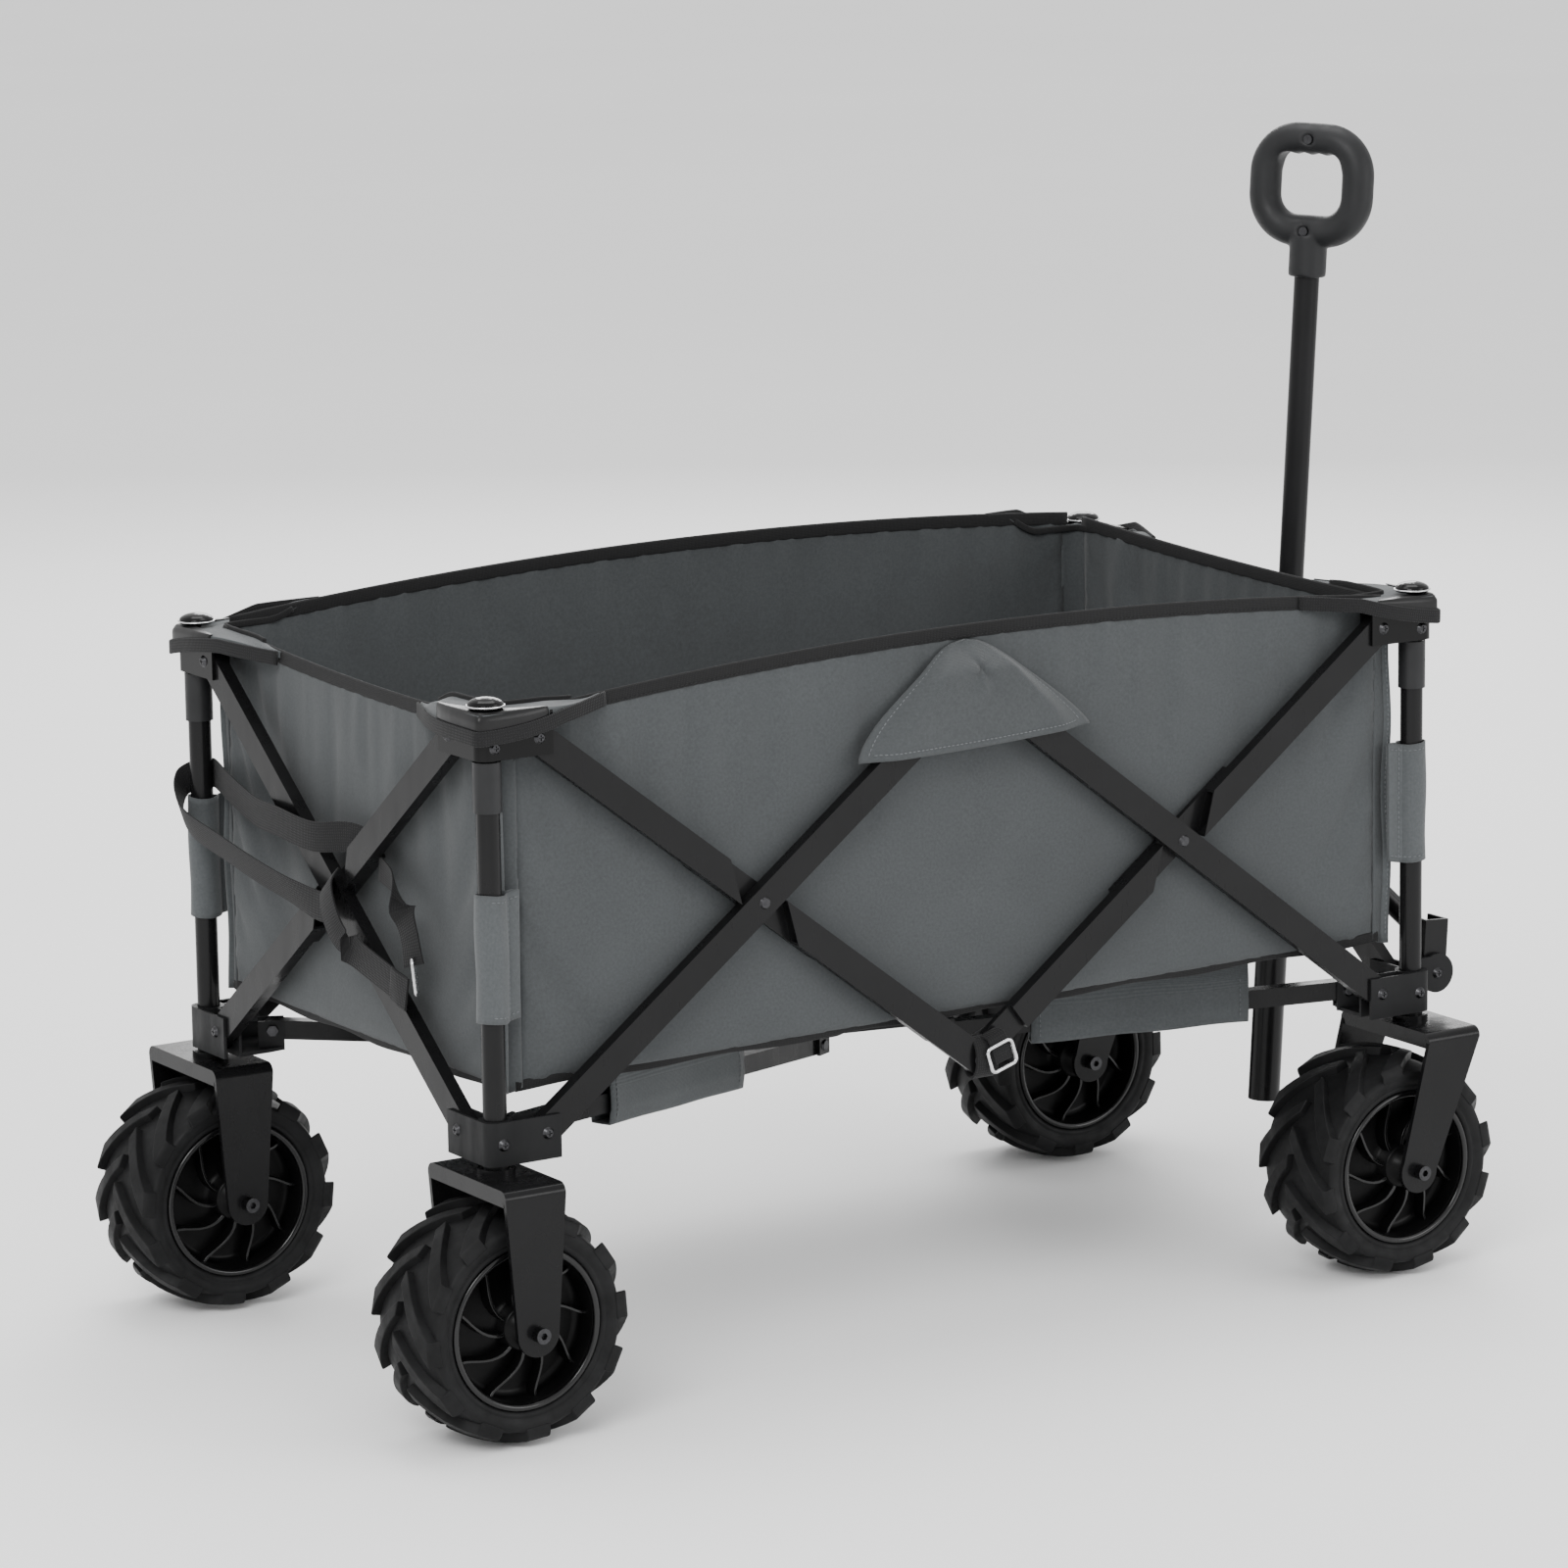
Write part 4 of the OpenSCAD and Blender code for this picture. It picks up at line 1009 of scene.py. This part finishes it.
def rear_strap():
    """Carrying strap on the rear end: round the left post, crossed over the scissor and knotted there."""
    face = -(POST.x + ARM_FACE)
    body = "lower_rear_left"

    def strip(name, points, across, held, rests_on, width=0.025):
        """The points' x is measured forwards from the outer faces of the end arms."""
        points = [(face + x, y, z) for x, y, z in points]
        return tape(f"rear_strap_{name}", points, across, held, rests_on, body, width)

    level, tilted, turning = Vector((0, 0.1, 1)), Vector((-0.3, 0.25, 1)), Vector((-0.2, 0.15, 1))
    flat = Vector((0, 0.3, 0.95))
    post_x, post_y = ARM_FACE, POST.y
    loop = strip(
        "loop",
        [
            (0.0155, -0.046, 0.441), (0.0085, -0.022, 0.445), (-0.0045, 0.017, 0.441),
            (-0.0055, 0.074, 0.444), (-0.001, 0.122, 0.4445), (0.01, 0.185, 0.451),
            (post_x + 0.01, post_y - 0.011, 0.4535), (post_x + 0.0118, post_y + 0.003, 0.454),
            (post_x + 0.004, post_y + 0.0135, 0.452),
            (post_x - 0.0095, post_y + 0.0165, 0.445), (post_x - 0.019, post_y + 0.005, 0.431),
            (-0.013, 0.216, 0.419), (-0.013, 0.161, 0.4095), (-0.012, 0.106, 0.4), (-0.01, 0.053, 0.3925),
            (-0.0085, 0.006, 0.387), (-0.0075, -0.022, 0.388),
        ],
        [level] * 6 + [UP] * 4 + [turning] + [tilted] * 4 + [level] * 2,
        "hung",
        ["post_rear_left", "end_arm_rear_outer"],
    )
    wrap = strip(
        "wrap",
        [
            (0.001, -0.008, 0.413), (-0.0095, -0.014, 0.403), (-0.0125, -0.024, 0.387),
            (-0.0105, -0.036, 0.369), (-0.007, -0.062, 0.357), (-0.007, -0.112, 0.346),
            (-0.007, -0.138, 0.341),
        ],
        [Vector((0, 0.62, 0.78)).cross(Vector((1, 0, 0)))] * 4 + [flat] * 3,
        "folded",
        ["end_arm_rear_outer"],
        0.026,
    )
    end_path = [(-0.009, -0.118, 0.3452), (-0.0097, -0.13, 0.3428), (-0.009, -0.144, 0.34)]
    end_block = strip("end", end_path, flat, "folded", ["rear_strap_wrap"], 0.0275)
    hanging = strip(
        "short",
        [
            (0.014, -0.062, 0.426), (0.007, -0.098, 0.42), (-0.001, -0.124, 0.407), (-0.004, -0.141, 0.386),
            (-0.005, -0.149, 0.364),
        ],
        [Vector(v) for v in ((0.1, 0.5, 1), (0, 0.7, 1), (0, 1, 0.8), (-0.1, 1, 0.3), (-0.3, 1, 0.2))],
        "hung",
        ["end_arm_rear_outer"],
        0.022,
    )
    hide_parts("rear_strap")
    centre = (face - 0.005, -0.15, 0.3555)
    ring = wire_ring("rear_strap_ring", centre, (0, 0.2, 0.98), (-0.53, -0.83, 0.17), 0.014, 0.0085, body)
    for piece in (loop, wrap, end_block, hanging, ring):
        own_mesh(piece)


def joint_wrap(side):
    """Webbing loop with a wire ring round the lower middle joint of a side."""
    body = f"falling_arm_front_{side}"

    def place(x, out, z):
        """out is measured outwards from the outer faces of the side's arms."""
        return Vector((x, SIDES[side] * (POST.y + ARM_FACE + out), z))

    angles = [math.tau * k / 24 for k in range(24)]
    loop = [place(0.004, 0.0105 * math.cos(a) - 0.0075, 0.2435 + 0.0165 * math.sin(a)) for a in angles]
    section = rounded_section(0.022, 0.0022)
    wrap = sweep_piece(f"joint_wrap_{side}", loop, Vector((1, 0, 0)), section, closed=True)
    dress(wrap, WEBBING, "webbing", body)
    path = [
        place(0.01, -0.018, 0.262), place(0.012, 0.002, 0.262), place(0.016, 0.0045, 0.25),
        place(0.019, 0.0045, 0.24),
    ]
    tape(f"joint_tail_{side}", path, Vector((1, 0, 0.35)), "folded", [body], body, 0.018)
    centre = place(0.016, 0.0062, 0.245)
    wire_ring(f"joint_ring_{side}", centre, (0.95, 0, 0.3), (-0.3, 0, 0.95), 0.0125, 0.0105, body)


# Carried-over CAD nodes


def islands(piece):
    """The separate solids of a node, each as a list of face numbers, largest first."""
    keys = {}
    corner_of = [keys.setdefault(tuple(round(c, 6) for c in v.co), len(keys)) for v in piece.data.vertices]
    parent = list(range(len(keys)))

    def root(k):
        while parent[k] != k:
            parent[k] = parent[parent[k]]
            k = parent[k]
        return k

    for face in piece.data.polygons:
        ring = [root(corner_of[v]) for v in face.vertices]
        for k in ring[1:]:
            parent[root(k)] = root(ring[0])
    groups = {}
    for face in piece.data.polygons:
        groups.setdefault(root(corner_of[face.vertices[0]]), []).append(face.index)
    return sorted(groups.values(), key=len, reverse=True)


def repaint(piece, material, chosen):
    """Gives another material to the solids that chosen picks by their lowest and highest corners."""
    piece.data.materials.append(material)
    number = len(piece.data.materials) - 1
    for group in islands(piece):
        places = [piece.data.vertices[v].co for f in group for v in piece.data.polygons[f].vertices]
        if chosen(Vector(map(min, zip(*places))), Vector(map(max, zip(*places)))):
            for index in group:
                piece.data.polygons[index].material_index = number


def cap_ring(end, side):
    """The thin bright ring that holds a domed cap down."""
    corner = f"{end}_{side}"
    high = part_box(f"upper_bracket_{corner}")[1].z
    centre = at_corner(end, side, 0, 0, high - 0.0066)
    profile = [(0.0147 + x, y) for x, y in oval_section(0.0009, 0.0007, 10)]
    ring = lathe_piece(f"cap_ring_{corner}", profile, 72, True)
    ring.data.transform(Matrix.Translation(centre) @ Matrix.Rotation(math.pi / 2, 4, "X"))
    dress(recalculate(ring), BRIGHT_STEEL, "bolt_steel", f"upper_{corner}")


def solid_piece(name, node, group, weld=False):
    """A new object with only some of a node's faces."""
    kept = set(group)
    part = bmesh.new()
    part.from_mesh(node.data)
    part.faces.ensure_lookup_table()
    bmesh.ops.delete(part, geom=[f for f in part.faces if f.index not in kept], context="FACES")
    if weld:
        bmesh.ops.remove_doubles(part, verts=part.verts, dist=1e-6)
    mesh = bpy.data.meshes.new(name)
    part.to_mesh(mesh)
    part.free()
    return add_object(name, mesh)


def moulded_grip():
    """The grip with its edges run together, as one moulding, from the CAD solid's own form."""
    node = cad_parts["handle_grip"]
    body, *screws = islands(node)
    piece = solid_piece("grip_moulding", node, body, weld=True)
    modify(piece, "REMESH", mode="VOXEL", voxel_size=0.0016)
    modify(piece, "SMOOTH", factor=0.5, iterations=6)
    shaped = piece.evaluated_get(bpy.context.evaluated_depsgraph_get())
    piece.data = bpy.data.meshes.new_from_object(shaped)
    piece.modifiers.clear()
    piece.data.materials.clear()
    piece.data.polygons.foreach_set("use_smooth", [True] * len(piece.data.polygons))
    dress(piece, GRIP_PLASTIC, "grip_plastic", "handle_inner_tube")
    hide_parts("handle_grip")
    for number, group in enumerate(screws):
        screw = solid_piece(f"grip_screw_{number}", node, group)
        screw.data.materials.clear()
        dress(screw, SCREW_STEEL, "bolt_steel", "handle_inner_tube")


FINISHES = [
    (("lower_bracket", "upper_bracket"), BRACKET_PAINT, SCREW_STEEL, 0.0005),
    (("rising_arm", "falling_arm", "end_arm"), TUBE_PAINT, SCREW_STEEL, 0.0016),
    (("floor_hub", "yoke_channel"), TUBE_PAINT, SCREW_STEEL, 0.0005),
    ("yoke_collar", COLLAR_PLASTIC, SCREW_STEEL, 0.001),
    ("handle_outer_tube", TUBE_PAINT, COLLAR_PLASTIC, 0.0006),
    ("handle_inner_tube", INNER_PAINT, None, 0.0004),
    ("inner_post", INNER_PAINT, None, 0.0003),
    ("post", TUBE_PAINT, None, 0.0004),
    ("floor_bar", TUBE_PAINT, None, 0.001),
    ("yoke_arm", TUBE_PAINT, None, 0.0006),
    ("fork", FORK_PAINT, None, 0.0016),
    ("axle", SCREW_STEEL, None, 0.0005),
]


def paint_frame():
    """Every CAD node whose form is kept gets its paint, its small solids another, and rounded edges."""
    for name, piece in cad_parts.items():
        for start, material, small, edge in FINISHES:
            if name.startswith(start):
                piece.data.materials.clear()
                piece.data.materials.append(material)
                if small:
                    repaint(piece, small, lambda low, high: max(high - low) < 0.032)
                soften(piece, edge)
    for end, side in CORNERS:
        bracket = f"upper_bracket_{end}_{side}"
        cap_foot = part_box(bracket)[1].z - 0.0005
        repaint(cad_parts[bracket], CAP_PLASTIC, lambda low, high: high.z > cap_foot)
        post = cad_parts[f"post_{end}_{side}"]
        repaint(post, COLLAR_PLASTIC, lambda low, high: high.z - low.z < 0.05)


# Stage


def area_light(name, place, target, size, power):
    data = bpy.data.lights.new(name, "AREA")
    data.shape = "RECTANGLE"
    data.size, data.size_y = size
    data.energy = power
    lamp = add_object(name, data)
    lamp.location = place
    lamp.rotation_euler = (Vector(target) - Vector(place)).to_track_quat("-Z", "Y").to_euler()


def studio():
    """A pale floor that runs out of sight, and soft light from all round with a key from the left."""
    world = bpy.data.worlds.new("studio")
    world.use_nodes = True
    background = world.node_tree.nodes["Background"]
    background.inputs["Color"].default_value = (1, 1, 1, 1)
    background.inputs["Strength"].default_value = 1.25
    bpy.context.scene.world = world
    half = 30
    outline = [(-half, -half, 0), (half, -half, 0), (half, half, 0), (-half, half, 0)]
    floor = mesh_piece("studio_floor", outline, [(0, 1, 2, 3)])
    finish = Finish("pale_floor", 0.9)
    finish.cloud(finish.noise(0.6), grey(1), 0.92, 0.95)
    floor.data.materials.append(finish.material)
    area_light("key", (-3.2, -2.6, 3.4), (0, 0, 0.35), (2.4, 1.8), 150)
    area_light("fill", (2.6, -4.2, 1.6), (0, 0, 0.4), (2.2, 1.6), 60)
    area_light("top", (0.4, 0.6, 3.6), (0, 0, 0.4), (2.6, 2.0), 70)
    area_light("back", (2.2, 3.4, 2.0), (0, 0, 0.5), (2.0, 1.4), 60)


CAMERA_AZIMUTH = -32.21
CAMERA_ELEVATION = 11.17
CAMERA_ROLL = -0.83
CAMERA_DISTANCE = 5.46
CAMERA_TARGET = (-0.022, 0.007, 0.433)
CAMERA_LENS = 148.9


def camera():
    """The camera looks at the wagon from behind its right rear corner, from just above it."""
    azimuth, elevation, roll = (math.radians(a) for a in (CAMERA_AZIMUTH, CAMERA_ELEVATION, CAMERA_ROLL))
    level = Vector((math.cos(azimuth), math.sin(azimuth), 0))
    back = level.cross(UP) * math.cos(elevation) + UP * math.sin(elevation)
    right = math.cos(roll) * level + math.sin(roll) * back.cross(level)
    data = bpy.data.cameras.new("camera")
    data.lens = CAMERA_LENS
    data.sensor_width = 36
    data.clip_end = 100
    view = add_object("camera", data)
    turn = Matrix((right, back.cross(right), back)).transposed().to_4x4()
    view.matrix_world = Matrix.Translation(Vector(CAMERA_TARGET) + back * CAMERA_DISTANCE) @ turn
    bpy.context.scene.camera = view


camera()
studio()
paint_frame()
moulded_grip()
for end, side in CORNERS:
    wheel(end, side)
    floor_quarter(end, side)
    corner_edge(end, side)
    hood(end, side)
    corner_cover(end, side)
    cap_ring(end, side)
    post_sleeve(end, side)
    bar_sleeve(end, side)
for side in SIDES:
    side_wall(side)
    side_binding(side)
    joint_pocket(side)
    joint_wrap(side)
for end in ENDS:
    end_wall(end)
    end_binding(end)
rear_strap()
